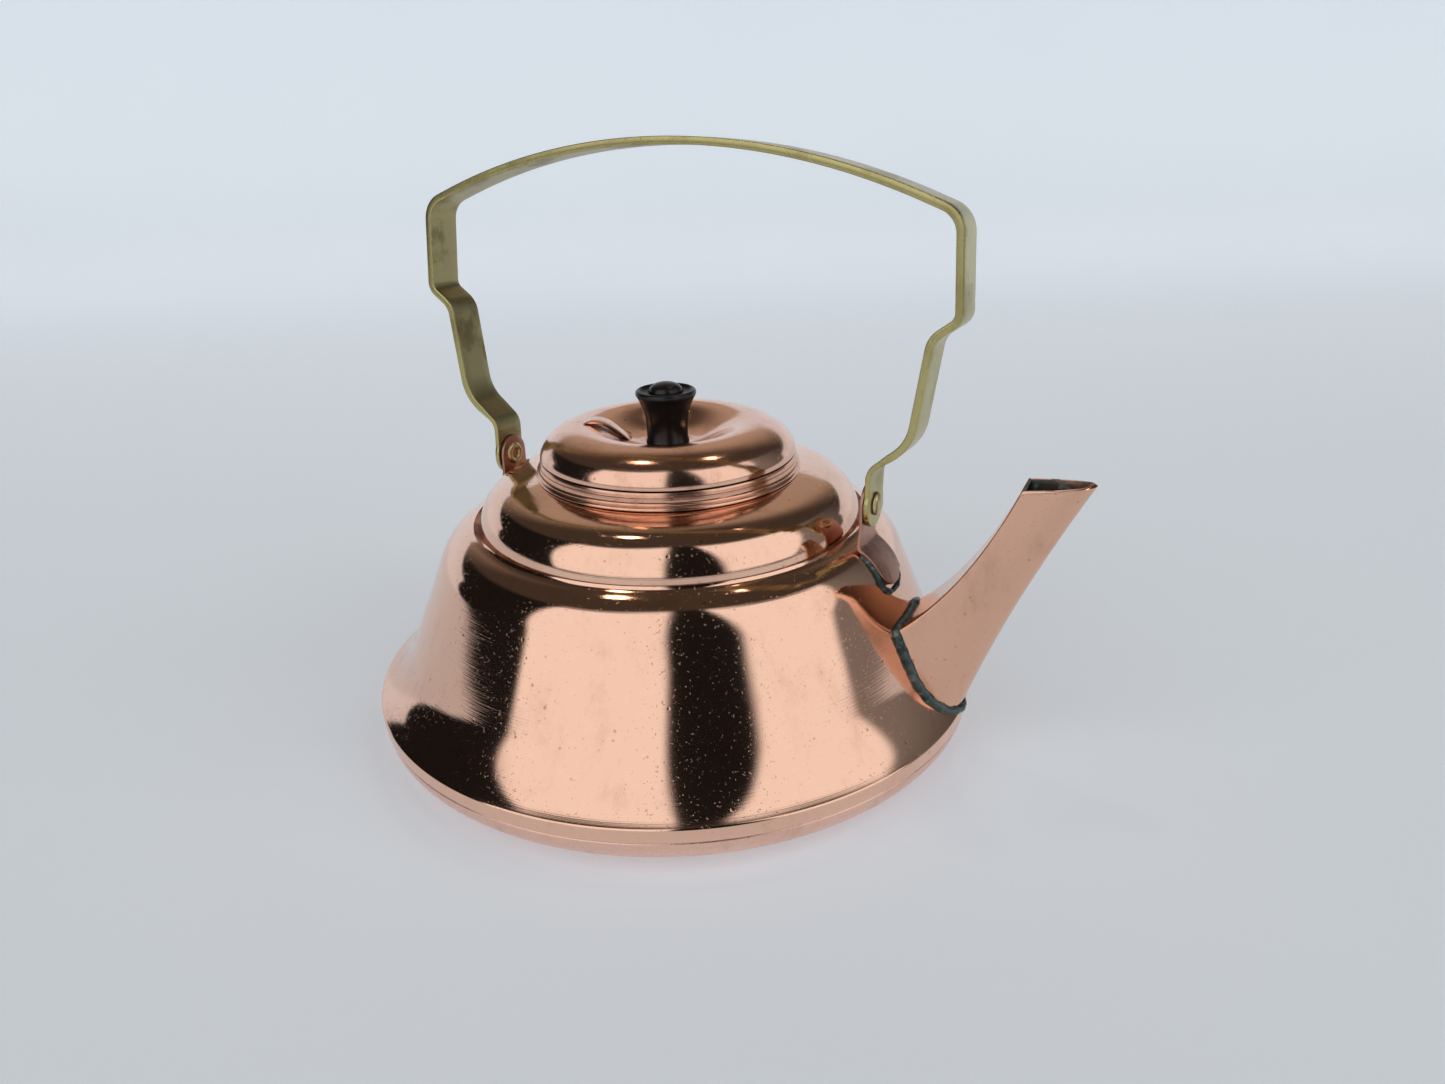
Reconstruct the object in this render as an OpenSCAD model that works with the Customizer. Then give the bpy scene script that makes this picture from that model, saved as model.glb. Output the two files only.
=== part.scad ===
// Copper kettle with a swinging brass bail, a lift-off lid and a soldered spout.
// Millimetres, +Z up, origin on the table under the middle of the base, +X toward the spout.

/* [Body] */
// Radius of the widest edge, where the flank meets the base band
rim_r = 100; // [84:1:120]
// Height of that edge above the table
rim_z = 17; // [15:0.5:24]
// Height of the plain band below the edge
band_h = 4.4; // [3:0.2:6]
// Thickness of the spun copper sheet
wall = 1; // [0.8:0.1:1.4]
// Height of the shoulder's top edge above the rim
shoulder_h = 53.5; // [46:0.5:64]
// Radius of the hollow sweep just above the rim
flare_r = 32; // [24:1:40]
// Lean of the flank from the vertical
flank_lean = 22.4; // [18:0.2:26]
// Radius of the rounded shoulder
shoulder_r = 18; // [14:0.5:22]
// Lean of the sheet where the flare leaves the rim
rim_lean = 58; // [50:1:64]
// Lean of the sheet where the shoulder ends at the groove
shoulder_end = 75; // [68:1:80]

/* [Upper tier] */
// Width of the groove between the shoulder and the tier
groove_w = 1.7; // [1.2:0.1:2.4]
// Depth of that groove
groove_d = 0.9; // [0.5:0.1:1.4]
// Height of the tier's short upright wall
tier_wall = 0.2; // [0.2:0.2:4]
// Radius of the tier's rounded corner
tier_r = 14; // [6:0.5:15]
// Slope of the tier's top, from the level
tier_slope = 12; // [8:1:32]
// Radius of the opening that the lid drops into
neck_r = 38.6; // [32:0.2:44]
// Depth of the turned-down collar round the opening
collar_h = 5; // [3:0.5:8]
// Radius of the lip where the tier turns down into the collar
lip_r = 1.6; // [1.3:0.1:2.4]

/* [Base] */
// Radius of the flat that stands on the table
base_flat_r = 79; // [60:1:90]
// Height of the pan's flange inside the band
flange_h = 3.4; // [2.4:0.2:4]
// Clearance between the flange and the band, filled with solder
seam_gap = 0.1; // [0.05:0.05:0.2]
// How far the pan's edge stays inside the band's outer face
pan_step = 0.5; // [0.3:0.1:0.8]

/* [Spout] */
// Turn of the spout about the kettle's axis
spout_turn = 2; // [-4:0.5:4]
// Height of the spout's back edge at the body, above the rim
spout_root_h = 29.3; // [24:0.1:34]
// Height of the spout's front at the body, above the rim
front_root_h = 2.5; // [1.5:0.1:6]
// Half width of the flat upper face at the body
spout_root_w = 12.3; // [9:0.1:14]
// Half width of the flat upper face at the mouth
spout_mouth_w = 6.4; // [5:0.1:9]
// Reach of the mouth's back edge beyond the rim
spout_reach = 13.2; // [8:0.2:24]
// Height of the mouth's back edge above the rim
spout_h = 75.8; // [64:0.2:86]
// Length of the mouth from its back edge to its tip
mouth_l = 19.4; // [15:0.2:24]
// Rise of the mouth from its back edge to its tip
mouth_rise = 2.1; // [0:0.1:4]
// Thickness of the spout's sheet
spout_wall = 1; // [0.8:0.1:1.4]
// Thickness of the solder round the spout's root
solder_r = 1.5; // [1:0.1:2.2]

/* [Bail] */
// Width of the brass strip
strip_w = 13; // [10:0.5:16]
// Thickness of the brass strip
strip_t = 2.3; // [1.8:0.1:3]
// Height of the rivets above the shoulder
pivot_rise = 12; // [10:0.5:20]
// How far the bail is set toward the spout
bail_set = 2.6; // [0:0.1:4]
// Lean of the bail at rest, away from the upright
bail_lean = 3; // [0:0.5:8]
// How far a leg stands out beyond its rivet at the foot of the lower leg
ankle_out = 11.9; // [9:0.1:15]
// How far it stands out at the top of the lower leg
knee_out = 16.2; // [13:0.1:20]
// How far it stands out at the foot of the upper leg
hip_out = 23.8; // [20:0.1:30]
// How far it stands out at the arch's corner
corner_out = 22.1; // [18:0.1:30]
// Height of a leg's first bend above the rivet
knuckle_h = 11.2; // [10:0.1:12]
// Height of the foot of the lower leg above the rivet
ankle_h = 18.8; // [17:0.1:22]
// Height of the top of the lower leg above the rivet
knee_h = 49.9; // [44:0.1:54]
// Height of the foot of the upper leg above the rivet
hip_h = 55.4; // [54.5:0.1:62]
// Height of the arch's corners above the rivets
corner_h = 84; // [76:0.5:96]
// Rise of the arch from its corners to its top
arch_rise = 19.5; // [12:0.5:26]
// Radius of the round eye at each end of the strip
eye_r = 7.1; // [6.5:0.1:8]
// Thickness of the eye, hammered thinner than the strip
eye_t = 1.6; // [1.2:0.1:2]

/* [Lugs and rivets] */
// Thickness of the copper lugs
lug_t = 1; // [0.8:0.1:1.5]
// Width of a lug's upright tongue
lug_w = 12.5; // [11:0.5:14]
// Width of a lug's foot on the shoulder
foot_w = 15; // [13:0.5:18]
// Length of a lug's foot, measured level
foot_l = 10; // [7:0.5:13]
// Clearance between the lug nearest the tier and the tier
lug_clear = 0.46; // [0.3:0.02:2]
// Gap between a lug and the strip
lug_gap = 0.4; // [0.35:0.05:1]
// Thickness of the solder bed under a lug
bed_t = 0.6; // [0.4:0.1:1]
// How far the solder bed shows round the foot
bed_edge = 1.4; // [0.8:0.1:2]
// Radius of the rivet's shank
rivet_r = 2; // [1.6:0.1:2.4]
// Running clearance of the strip on the rivet
rivet_fit = 0.05; // [0.03:0.01:0.08]
// Radius of the rivet's domed head
head_r = 3.6; // [3.2:0.1:4.6]
// Height of the rivet's domed head
head_h = 1.7; // [1.2:0.1:2]

/* [Lid] */
// Thickness of the lid's sheet
lid_wall = 0.8; // [0.6:0.1:1]
// How far the lid ring's lower edge reaches beyond the neck
ring_over = 4.2; // [3.6:0.1:5.4]
// How far the ring draws in from its lower edge to the cover
ring_draft = 1.5; // [1:0.1:1.8]
// Height of the ring from its lower edge to the cover
ring_h = 5.4; // [4.4:0.1:7]
// Height of the cover from the ring to its crest
crest_h = 9.6; // [7:0.1:13]
// Width of the cover's dome, from the ring in to its crest
dome_w = 14.3; // [11:0.1:18]
// Depth of the dish below the crest
dish_d = 6.4; // [4:0.1:9]
// Radius of the flat seat under the knob
seat_r = 8; // [7.2:0.1:9]
// Depth of the ring's skirt inside the neck
skirt_h = 9; // [6:0.5:12]
// Radial play of the skirt in the neck
skirt_play = 0.6; // [0.3:0.1:1]
// Play between the lid and the body where the lid rests
lid_gap = 0.3; // [0.25:0.05:0.5]
// Length of the raised vent bridge
vent_l = 15; // [12:0.5:16]
// Width of the raised vent bridge
vent_w = 6.5; // [5:0.5:8]
// Rise of the vent bridge above the cover
vent_rise = 2.2; // [1.6:0.1:2.8]
// Width of each slit beside the bridge
slit_w = 1.5; // [1:0.1:2]
// Distance of the vent from the lid's axis
vent_at = 19.5; // [18:0.5:21]
// Direction of the vent about the lid's axis
vent_turn = 203; // [0:1:359]

/* [Knob] */
// Radius of the knob's waist
waist_r = 6.6; // [6:0.1:7.6]
// Radius of the knob's flared top edge
knob_r = 9.7; // [8.6:0.1:11.5]
// Height of the straight waist
waist_h = 4.5; // [3:0.5:7]
// Height of the flared part
flare_h = 11; // [9:0.5:14]
// Rise of the button in the middle of the knob above its edge
button_h = 3.8; // [2:0.1:5]
// Radius of that button
button_r = 5.6; // [4:0.1:6.4]
// Radius of the screw
screw_r = 2; // [1.5:0.1:2.4]
// Radius of the brass insert in the knob
insert_r = 3.4; // [3:0.1:4]
// Length of the brass insert
insert_h = 8; // [6:0.5:9]
// Radius of the washer under the screw's head
washer_r = 5.2; // [4.6:0.1:6]

/* [Hidden] */
$fn = 96;

copper = [0.78, 0.50, 0.38];
brass = [0.70, 0.62, 0.36];
solder_grey = [0.20, 0.27, 0.28];
steel = [0.62, 0.63, 0.64];
phenolic = [0.03, 0.03, 0.04];

bite = 0.4;                       // overlap that joins the shapes of one piece
arc_step = 6;                     // degrees between points of a drawn arc
groove_cover = 83;                // how far round the shoulder a lug's foot starts, in degrees
foot_corner = 0.45;               // corner radius of a lug's foot, as a share of its width

// --- outlines -----------------------------------------------------------------

// Points of an arc about c, from angle a0 to a1, both in degrees.
function arc(c, r, a0, a1, n = 0) =
    let (steps = n > 0 ? n : max(2, ceil(abs(a1 - a0) / arc_step)))
    [for (i = [0:steps]) let (a = a0 + (a1 - a0) * i / steps) [c[0] + r * cos(a), c[1] + r * sin(a)]];

function reversed(p) = [for (i = [len(p) - 1:-1:0]) p[i]];
function unit(v) = v / norm(v);
function left_of(v) = [-v[1], v[0]];

// Unit normal on the left of an open outline at its point i.
function normal_at(p, i) =
    left_of(unit(p[min(i + 1, len(p) - 1)] - p[max(i - 1, 0)]));

// The outline moved to its left by d.
function shifted(p, d) = [for (i = [0:len(p) - 1]) p[i] + d * normal_at(p, i)];

// A closed sheet of thickness t on the left of an outline.
function sheet(p, t) = concat(p, reversed(shifted(p, t)));

// Quadratic Bezier curve.
function bezier(a, b, c, t) = a * (1 - t) * (1 - t) + 2 * b * t * (1 - t) + c * t * t;

// --- body outline ---------------------------------------------------------------

flare_c = [rim_r + flare_r * cos(rim_lean), rim_z + flare_r * sin(rim_lean)];
flare_top = flare_c - flare_r * [cos(flank_lean), sin(flank_lean)];
shoulder_z = rim_z + shoulder_h;
shoulder_rise = shoulder_r * (sin(shoulder_end) - sin(flank_lean));
flank_top = [flare_top[0] - (shoulder_z - shoulder_rise - flare_top[1]) * tan(flank_lean),
    shoulder_z - shoulder_rise];
shoulder_c = flank_top - shoulder_r * [cos(flank_lean), sin(flank_lean)];
groove_r = shoulder_c[0] + shoulder_r * cos(shoulder_end);
tier_foot = [groove_r - groove_w, shoulder_z];
tier_draft = 4;
tier_c = [tier_foot[0] - tier_wall * tan(tier_draft) - tier_r * cos(tier_draft),
    tier_foot[1] + tier_wall - tier_r * sin(tier_draft)];
tier_top = tier_c + tier_r * [sin(tier_slope), cos(tier_slope)];
lip_c_r = neck_r + lip_r;
lip_c_z = tier_top[1] + (tier_top[0] - lip_c_r) * tan(tier_slope) - lip_r / cos(tier_slope);

// Height of the outside of the tier's sloping top at radius r.
function tier_z(r) = tier_top[1] + (tier_top[0] - r) * tan(tier_slope);

// Outer radius of the flank at height z, for what is fitted against it.
function flank_r(z) =
    z < rim_z ? rim_r :
    z < flare_top[1] ? flare_c[0] - sqrt(flare_r * flare_r - pow(flare_c[1] - z, 2)) :
    z < flank_top[1] ? flare_top[0] - (z - flare_top[1]) * tan(flank_lean) :
    shoulder_c[0] + sqrt(max(0, shoulder_r * shoulder_r - pow(z - shoulder_c[1], 2)));

shoulder_outline = arc(shoulder_c, shoulder_r, flank_lean, shoulder_end);

body_outline = concat(
    [[rim_r, rim_z - band_h]],
    arc(flare_c, flare_r, 180 + rim_lean, 180 + flank_lean),
    shoulder_outline,
    [[groove_r - groove_w / 2, shoulder_z - groove_d]],
    [tier_foot],
    arc(tier_c, tier_r, tier_draft, 90 - tier_slope),
    arc([lip_c_r, lip_c_z], lip_r, 90 - tier_slope, 180, 6),
    [[neck_r, lip_c_z - collar_h]]);

module body_shell() color(copper) difference() {
    rotate_extrude() polygon(sheet(body_outline, wall));
    rotate([0, 0, spout_turn]) spout_port();
}

// The port through the flank behind the spout.
port_w = 15;
port_low = 7;
port_high = 25;

module spout_port()
    translate([flare_top[0] - 3 * port_w, 0, rim_z])
        rotate([90, 0, 90])
            linear_extrude(height = 4 * port_w) {
                translate([-port_w / 2, port_low + port_w / 2])
                    square([port_w, port_high - port_low - port_w / 2]);
                translate([0, port_low + port_w / 2]) circle(d = port_w);
            }

// --- base -----------------------------------------------------------------------

seam_z = rim_z - band_h;
pan_edge_r = rim_r - pan_step;
flange_r = rim_r - wall - seam_gap;
joggle = 0.6;
pan_steps = 14;

pan_outline = concat(
    [[0, 0]],
    [for (i = [0:pan_steps]) let (a = 90 * i / pan_steps)
        [base_flat_r + (pan_edge_r - base_flat_r) * sin(a), (seam_z - joggle) * (1 - cos(a))]],
    [[flange_r, seam_z], [flange_r, seam_z + flange_h]]);

module bottom_pan() color(copper)
    rotate_extrude() polygon(sheet(pan_outline, wall));

module base_solder() color(solder_grey)
    rotate_extrude() polygon([
        [flange_r, seam_z],
        [flange_r + seam_gap, seam_z],
        [flange_r + seam_gap, seam_z + flange_h],
        [flange_r - wall / 2, seam_z + flange_h + wall / 2],
        [flange_r - wall, seam_z + flange_h + wall / 2],
        [flange_r - wall, seam_z + flange_h],
        [flange_r, seam_z + flange_h]]);

// --- spout ----------------------------------------------------------------------

back_bend_h = 0.58;                // height of the back's bend, as a share of the spout's height
front_bend_h = 0.52;               // the same for the front
front_bend_out = 0.38;             // reach of the front's bend, as a share of the mouth's reach
root_over = 0.2;                   // how far the front's foot stands beyond the rim

// Curves of the spout in its own upright plane: the back along the flat upper face and the front.
back_root = [flank_r(rim_z + spout_root_h), rim_z + spout_root_h];
back_mouth = [rim_r + spout_reach, rim_z + spout_h];
back_knee = [rim_r, rim_z + back_bend_h * spout_h];
front_root = [rim_r + root_over, rim_z + front_root_h];
front_mouth = back_mouth + [mouth_l, mouth_rise];
front_knee = [rim_r + front_bend_out * (front_mouth[0] - rim_r), rim_z + front_bend_h * spout_h];

spout_rings = 20;
side_steps = 16;                  // points along each side of a section
back_steps = 6;                   // points across the flat upper face
side_taper = 0.25;                // how much a side closes in toward the front
nose_power = 5;                   // how squarely a side turns into the front

// One section as [along, across] pairs: along is 0 at the back and 1 at the front.
section = concat(
    [for (i = [0:back_steps - 1]) [0, 1 - 2 * i / back_steps]],
    [for (i = [0:side_steps - 1]) let (e = nose_at(i)) [e, -side_at(e)]],
    [for (i = [side_steps:-1:1]) let (e = nose_at(i)) [e, side_at(e)]]);
section_n = len(section);

function nose_at(i) = 1 - pow(1 - i / side_steps, 2);
function side_at(e) = (1 - side_taper * e) * sqrt(max(0, 1 - pow(e, nose_power)));

// Point of the spout's skin: q is a section point, s runs from 0 at the root to 1 at the mouth.
function skin(q, s, inset) =
    let (b = bezier(back_root, back_knee, back_mouth, s),
        f = bezier(front_root, front_knee, front_mouth, s),
        depth = norm(f - b),
        w = spout_root_w + (spout_mouth_w - spout_root_w) * s,
        e = (inset + q[0] * (depth - 2 * inset)) / depth,
        p = b + e * (f - b))
    [p[0], q[1] * (w - inset), p[1]];

function outside_by(p) = norm([p[0], p[1]]) - flank_r(p[2]);

// Value of s at which a skin line leaves the flank, found by halving.
function root_s(q, inset, lo = -0.3, hi = 0.3, n = 22) =
    n == 0 ? (lo + hi) / 2 :
    let (mid = (lo + hi) / 2)
    outside_by(skin(q, mid, inset)) > 0 ? root_s(q, inset, lo, mid, n - 1) : root_s(q, inset, mid, hi, n - 1);

function skin_ring(k, inset) = [for (q = section)
    let (s0 = root_s(q, inset)) skin(q, s0 + (1 - s0) * k / spout_rings, inset)];

function wrap(j) = (j + 1) % section_n;

module spout() {
    points = concat(
        [for (k = [0:spout_rings]) each skin_ring(k, 0)],
        [for (k = [0:spout_rings]) each skin_ring(k, spout_wall)]);
    inner = (spout_rings + 1) * section_n;
    top = spout_rings * section_n;
    sides = [for (k = [0:spout_rings - 1], j = [0:section_n - 1])
        let (a = k * section_n) [a + j, a + wrap(j), a + section_n + wrap(j), a + section_n + j]];
    outer_faces = [for (f = sides) each [[f[0], f[2], f[1]], [f[0], f[3], f[2]]]];
    inner_faces = [for (f = sides) let (g = [for (v = f) inner + v])
        each [[g[0], g[1], g[2]], [g[0], g[2], g[3]]]];
    mouth_faces = [for (j = [0:section_n - 1]) let (a = top + j, b = top + wrap(j))
        each [[a, inner + b, b], [a, inner + a, inner + b]]];
    root_faces = [for (j = [0:section_n - 1])
        each [[j, wrap(j), inner + wrap(j)], [j, inner + wrap(j), inner + j]]];
    color(copper) rotate([0, 0, spout_turn])
        polyhedron(points, concat(outer_faces, inner_faces, mouth_faces, root_faces), convexity = 6);
}

bead_sides = 8;
bead_out = 0.36;                  // how far the bead's middle stands off the flank, as a share of its radius

// Solder bead: a closed tube round the spout's root.
module spout_solder() {
    root = skin_ring(0, 0);
    rings = [for (j = [0:section_n - 1])
        let (along = unit(root[wrap(j)] - root[(j + section_n - 1) % section_n]),
            out = unit(cross(along, unit([root[j][0], root[j][1], 0]))),
            up = cross(out, along),
            away = cos(flank_lean) * unit([root[j][0], root[j][1], 0]) + [0, 0, sin(flank_lean)],
            middle = root[j] + bead_out * solder_r * away)
        [for (i = [0:bead_sides - 1]) let (a = 360 * i / bead_sides)
            middle + solder_r * (cos(a) * out + sin(a) * up)]];
    color(solder_grey) rotate([0, 0, spout_turn])
        polyhedron([for (r = rings) each r],
            [for (j = [0:section_n - 1], i = [0:bead_sides - 1])
                let (a = j * bead_sides, b = wrap(j) * bead_sides, n = (i + 1) % bead_sides)
                each [[a + i, b + i, b + n], [a + i, b + n, a + n]]], convexity = 6);
}

// --- bail -----------------------------------------------------------------------

pivot_z = shoulder_z + pivot_rise;
pivot_half = tier_foot[0] + lug_clear + lug_t + lug_gap + eye_t + bail_set;
corner_half = pivot_half + corner_out;
arch_r = (corner_half * corner_half + arch_rise * arch_rise) / (2 * arch_rise);
arch_c = [0, corner_h + arch_rise - arch_r];
arch_a = asin(corner_half / arch_r);
arch_steps = 40;
knuckle_bend = 6;                 // radii of the bends, along the middle of the strip
ankle_bend = 14;
knee_bend = 7;
hip_bend = 4;
corner_bend = 8;

// Corners of one leg's outer face from the eye to the arch, above the rivet, with bend radii.
leg = [
    [[pivot_half, 0], 0],
    [[pivot_half, knuckle_h], knuckle_bend],
    [[pivot_half + ankle_out, ankle_h], ankle_bend],
    [[pivot_half + knee_out, knee_h], knee_bend],
    [[pivot_half + hip_out, hip_h], hip_bend],
    [[corner_half, corner_h], corner_bend]];
arch_dir = [-cos(arch_a), sin(arch_a)];
arch_in = arch_a - 180 / PI * corner_bend / arch_r;    // where the arch is clear of its corner bends

// Centre line vertex of corner i, half a thickness inside the outer face.
function leg_dir(i) = i >= len(leg) - 1 ? arch_dir : unit(leg[i + 1][0] - leg[i][0]);
function leg_vertex(i) = let (n1 = left_of(leg_dir(i - 1)), n2 = left_of(leg_dir(i)))
    leg[i][0] + strip_t / 2 * (n1 + n2) / (1 + n1 * n2);

// Bend at corner i as [point, normal] pairs along the centre line.
function leg_bend(i) =
    let (d1 = leg_dir(i - 1), d2 = leg_dir(i), v = leg_vertex(i),
        side = d1[0] * d2[1] > d1[1] * d2[0] ? 1 : -1, angle = acos(d1 * d2), r = leg[i][1],
        cut = r * tan(angle / 2), c = v - cut * d1 + side * r * left_of(d1),
        a0 = atan2(-side * left_of(d1)[1], -side * left_of(d1)[0]),
        n = max(2, ceil(angle / arc_step)))
    [for (k = [0:n]) let (a = a0 + side * angle * k / n, o = [cos(a), sin(a)]) [c + r * o, -side * o]];

knuckle_line = leg_bend(1);       // the first bend is as thin as the eye, to pass clear of the lug
leg_line = concat(knuckle_line, [for (i = [2:len(leg) - 1]) each leg_bend(i)]);
arch_line = [for (k = [0:arch_steps])
    let (a = 90 - arch_in + 2 * arch_in * k / arch_steps, o = [cos(a), sin(a)])
        [arch_c + (arch_r - strip_t / 2) * o, -o]];
half_mirror = [for (q = reversed(leg_line)) [[-q[0][0], q[0][1]], [-q[1][0], q[1][1]]]];
bail_line = concat(leg_line, arch_line, half_mirror);
knuckle_n = len(knuckle_line);
bail_n = len(bail_line);

// Thickness of the strip at point i of its line.
function strip_at(i) = i < knuckle_n || i >= bail_n - knuckle_n ? eye_t : strip_t;

function inner_face(i) = bail_line[i][0] + (strip_at(i) - strip_t / 2) * bail_line[i][1];

module bail() color(brass)
    translate([bail_set, 0, pivot_z]) rotate([-bail_lean, 0, 0]) difference() {
        union() {
            rotate([90, 0, 0]) linear_extrude(height = strip_w, center = true)
                polygon(concat(
                    [[pivot_half, 0]],
                    [for (q = bail_line) q[0] - strip_t / 2 * q[1]],
                    [[-pivot_half, 0], [-pivot_half + eye_t, 0]],
                    [for (i = [bail_n - 1:-1:0]) inner_face(i)],
                    [[pivot_half - eye_t, 0]]));
            for (side = [-1, 1])
                translate([side * (pivot_half - eye_t / 2), 0, 0]) rotate([0, 90, 0])
                    cylinder(r = eye_r, h = eye_t, center = true);
        }
        rotate([0, 90, 0]) cylinder(r = rivet_r + rivet_fit, h = 3 * pivot_half, center = true);
    }

// --- lugs and rivets ----------------------------------------------------------------

// A lug at side +1 (spout side) or -1, as measured from the kettle's axis.
function lug_out(side) = pivot_half + side * bail_set - eye_t - lug_gap;

// Outline of a lug's tongue, looking along X.
module tongue_outline(low)
    polygon(concat(
        arc([0, 0], lug_w / 2, 0, 180),
        [[-lug_w / 2, low / 2], [-foot_w / 2, low], [foot_w / 2, low], [lug_w / 2, low / 2]]));

// Sheet that follows the shoulder from one height above it to another.
module shoulder_sheet(from, to, out, length, width) intersection() {
    rotate([0, 0, -45]) rotate_extrude(angle = 90)
        polygon(concat(shoulder_band(from), reversed(shoulder_band(to))));
    translate([out, 0, 0]) linear_extrude(height = 2 * shoulder_z)
        foot_outline(length, width);
}

// The shoulder's outline at distance d above it, run on down the flank and over the groove.
function shoulder_band(d) = concat(
    [flank_top + d * [cos(flank_lean), sin(flank_lean)] + foot_l * [sin(flank_lean), -cos(flank_lean)]],
    arc(shoulder_c, shoulder_r + d, flank_lean, shoulder_end),
    [shoulder_c + (shoulder_r + d) * [cos(groove_cover), sin(groove_cover)]]);

module foot_outline(length, width) {
    corner = foot_corner * width;
    polygon(concat(
        [[0, -width / 2]],
        arc([length - corner, corner - width / 2], corner, -90, 0),
        arc([length - corner, width / 2 - corner], corner, 0, 90),
        [[0, width / 2]]));
}

module lug(side) mirror([side < 0 ? 1 : 0, 0, 0]) color(copper) difference() {
    out = lug_out(side);
    union() {
        translate([out - lug_t, 0, pivot_z]) rotate([90, 0, 90])
            linear_extrude(height = lug_t) tongue_outline(lug_low(side) - pivot_z);
        shoulder_sheet(bed_t, bed_t + lug_t, out - lug_t, foot_l, foot_w);
    }
    translate([0, 0, pivot_z]) rotate([0, 90, 0]) cylinder(r = rivet_r, h = 2 * out);
}

// Height at which a tongue runs into the top of its foot.
function lug_low(side) = let (r = lug_out(side), reach = shoulder_r + bed_t + lug_t / 2)
    shoulder_c[1] + sqrt(reach * reach - pow(r - shoulder_c[0], 2));

module lug_solder(side) mirror([side < 0 ? 1 : 0, 0, 0]) color(solder_grey)
    shoulder_sheet(0, bed_t, lug_out(side) - lug_t - bed_edge, foot_l + 2 * bed_edge, foot_w + 2 * bed_edge);

clinch_r = 3.8;                   // radius of the rivet's rolled end, inside the lug
clinch_h = 0.9;
hollow_r = 1.65;                  // bore in that end
hollow_h = 2.6;
head_gap = 0.15;                  // play between the strip and the domed head

module rivet(side) {
    inner = lug_out(side) - lug_t;
    outer = pivot_half + side * bail_set + head_gap;
    cap_r = (head_r * head_r + head_h * head_h) / (2 * head_h);
    mirror([side < 0 ? 1 : 0, 0, 0]) color(brass) translate([0, 0, pivot_z]) rotate([0, 90, 0]) difference() {
        union() {
            translate([0, 0, inner - clinch_h]) cylinder(r = clinch_r, h = clinch_h);
            translate([0, 0, inner - clinch_h]) cylinder(r = rivet_r, h = outer - inner + clinch_h + bite);
            intersection() {
                translate([0, 0, outer]) cylinder(r = head_r, h = head_h);
                translate([0, 0, outer + head_h - cap_r]) sphere(r = cap_r);
            }
        }
        translate([0, 0, inner - clinch_h - bite]) cylinder(r = hollow_r, h = hollow_h + bite);
    }
}

// --- lid ------------------------------------------------------------------------

ring_r = neck_r + ring_over;
cover_r = ring_r - ring_draft;
crest_r = cover_r - dome_w;
ring_z = tier_z(ring_r) + lid_gap;
cover_z = ring_z + ring_h;
crest_z = cover_z + crest_h;
seat_z = crest_z - dish_d;
skirt_r = neck_r - skirt_play;
dome_steps = 14;
dish_steps = 14;

function dish_z(r) = seat_z + dish_d * (0.5 - 0.5 * cos(180 * (r - seat_r) / (crest_r - seat_r)));

cover_outline = concat(
    [for (i = [0:dome_steps]) let (a = 90 * i / dome_steps)
        [crest_r + (cover_r - crest_r) * cos(a), cover_z + crest_h * sin(a)]],
    [for (i = [1:dish_steps]) let (r = crest_r + (seat_r - crest_r) * i / dish_steps) [r, dish_z(r)]],
    [[screw_r + 0.2, seat_z]]);

module lid_cover() color(copper) {
    difference() {
        rotate_extrude() polygon(sheet(cover_outline, lid_wall));
        rotate([0, 0, vent_turn]) translate([vent_at, 0, seat_z])
            for (s = [-1, 1]) translate([-vent_l / 2, s * (vent_w + slit_w) / 2 - slit_w / 2, -dish_d])
                cube([vent_l, slit_w, 3 * dish_d]);
    }
    rotate([0, 0, vent_turn]) vent_bridge();
}

// The raised strip between the two slits: an arch that grows out of the cover.
module vent_bridge() {
    steps = 10;
    line = [for (i = [0:steps]) let (r = vent_at - vent_l / 2 + vent_l * i / steps)
        [r, dish_z(r) + vent_rise * sin(180 * i / steps) - lid_wall]];
    rotate([90, 0, 0]) linear_extrude(height = vent_w, center = true)
        polygon(sheet(line, lid_wall));
}

ring_bead = 0.1;                  // how far the bead near the ring's foot stands out
ring_waist = 1.2;                 // how far the ring's face draws in above that bead
ring_step = 0.2;                  // how far the cover's edge stands out over the ring's face
skirt_low = ring_z - skirt_h + lip_r;

ring_face = [
    [ring_r, ring_z],
    [ring_r + ring_bead, ring_z + 0.1 * ring_h],
    [ring_r - ring_waist / 2, ring_z + 0.3 * ring_h],
    [ring_r - ring_waist, ring_z + 0.54 * ring_h],
    [cover_r - ring_step, ring_z + 0.74 * ring_h],
    [cover_r, cover_z]];
ring_inside = shifted(ring_face, lid_wall);

module lid_ring() color(copper) rotate_extrude() polygon(concat(
    ring_face,
    [[skirt_r - lid_wall, cover_z],
        [skirt_r - lid_wall, skirt_low],
        [skirt_r, skirt_low],
        [skirt_r, cover_z - lid_wall],
        [cover_r - ring_step - lid_wall, cover_z - lid_wall]],
    [ring_inside[4], ring_inside[3], ring_inside[2]]));

// --- knob -----------------------------------------------------------------------

knob_z = seat_z;
edge_z = knob_z + waist_h + flare_h;
sweep_r = (flare_h * flare_h + pow(knob_r - waist_r, 2)) / (2 * (knob_r - waist_r));
edge_round = 0.9;
top_hollow = 0.5;
foot_flare = 0.3;                 // how far the knob's foot stands out beyond its waist
foot_high = 0.6;                  // height of that foot
foot_blend = 1;                   // height at which it has died into the waist

button_steps = 6;
hollow_z = edge_z + edge_round - top_hollow;

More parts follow.
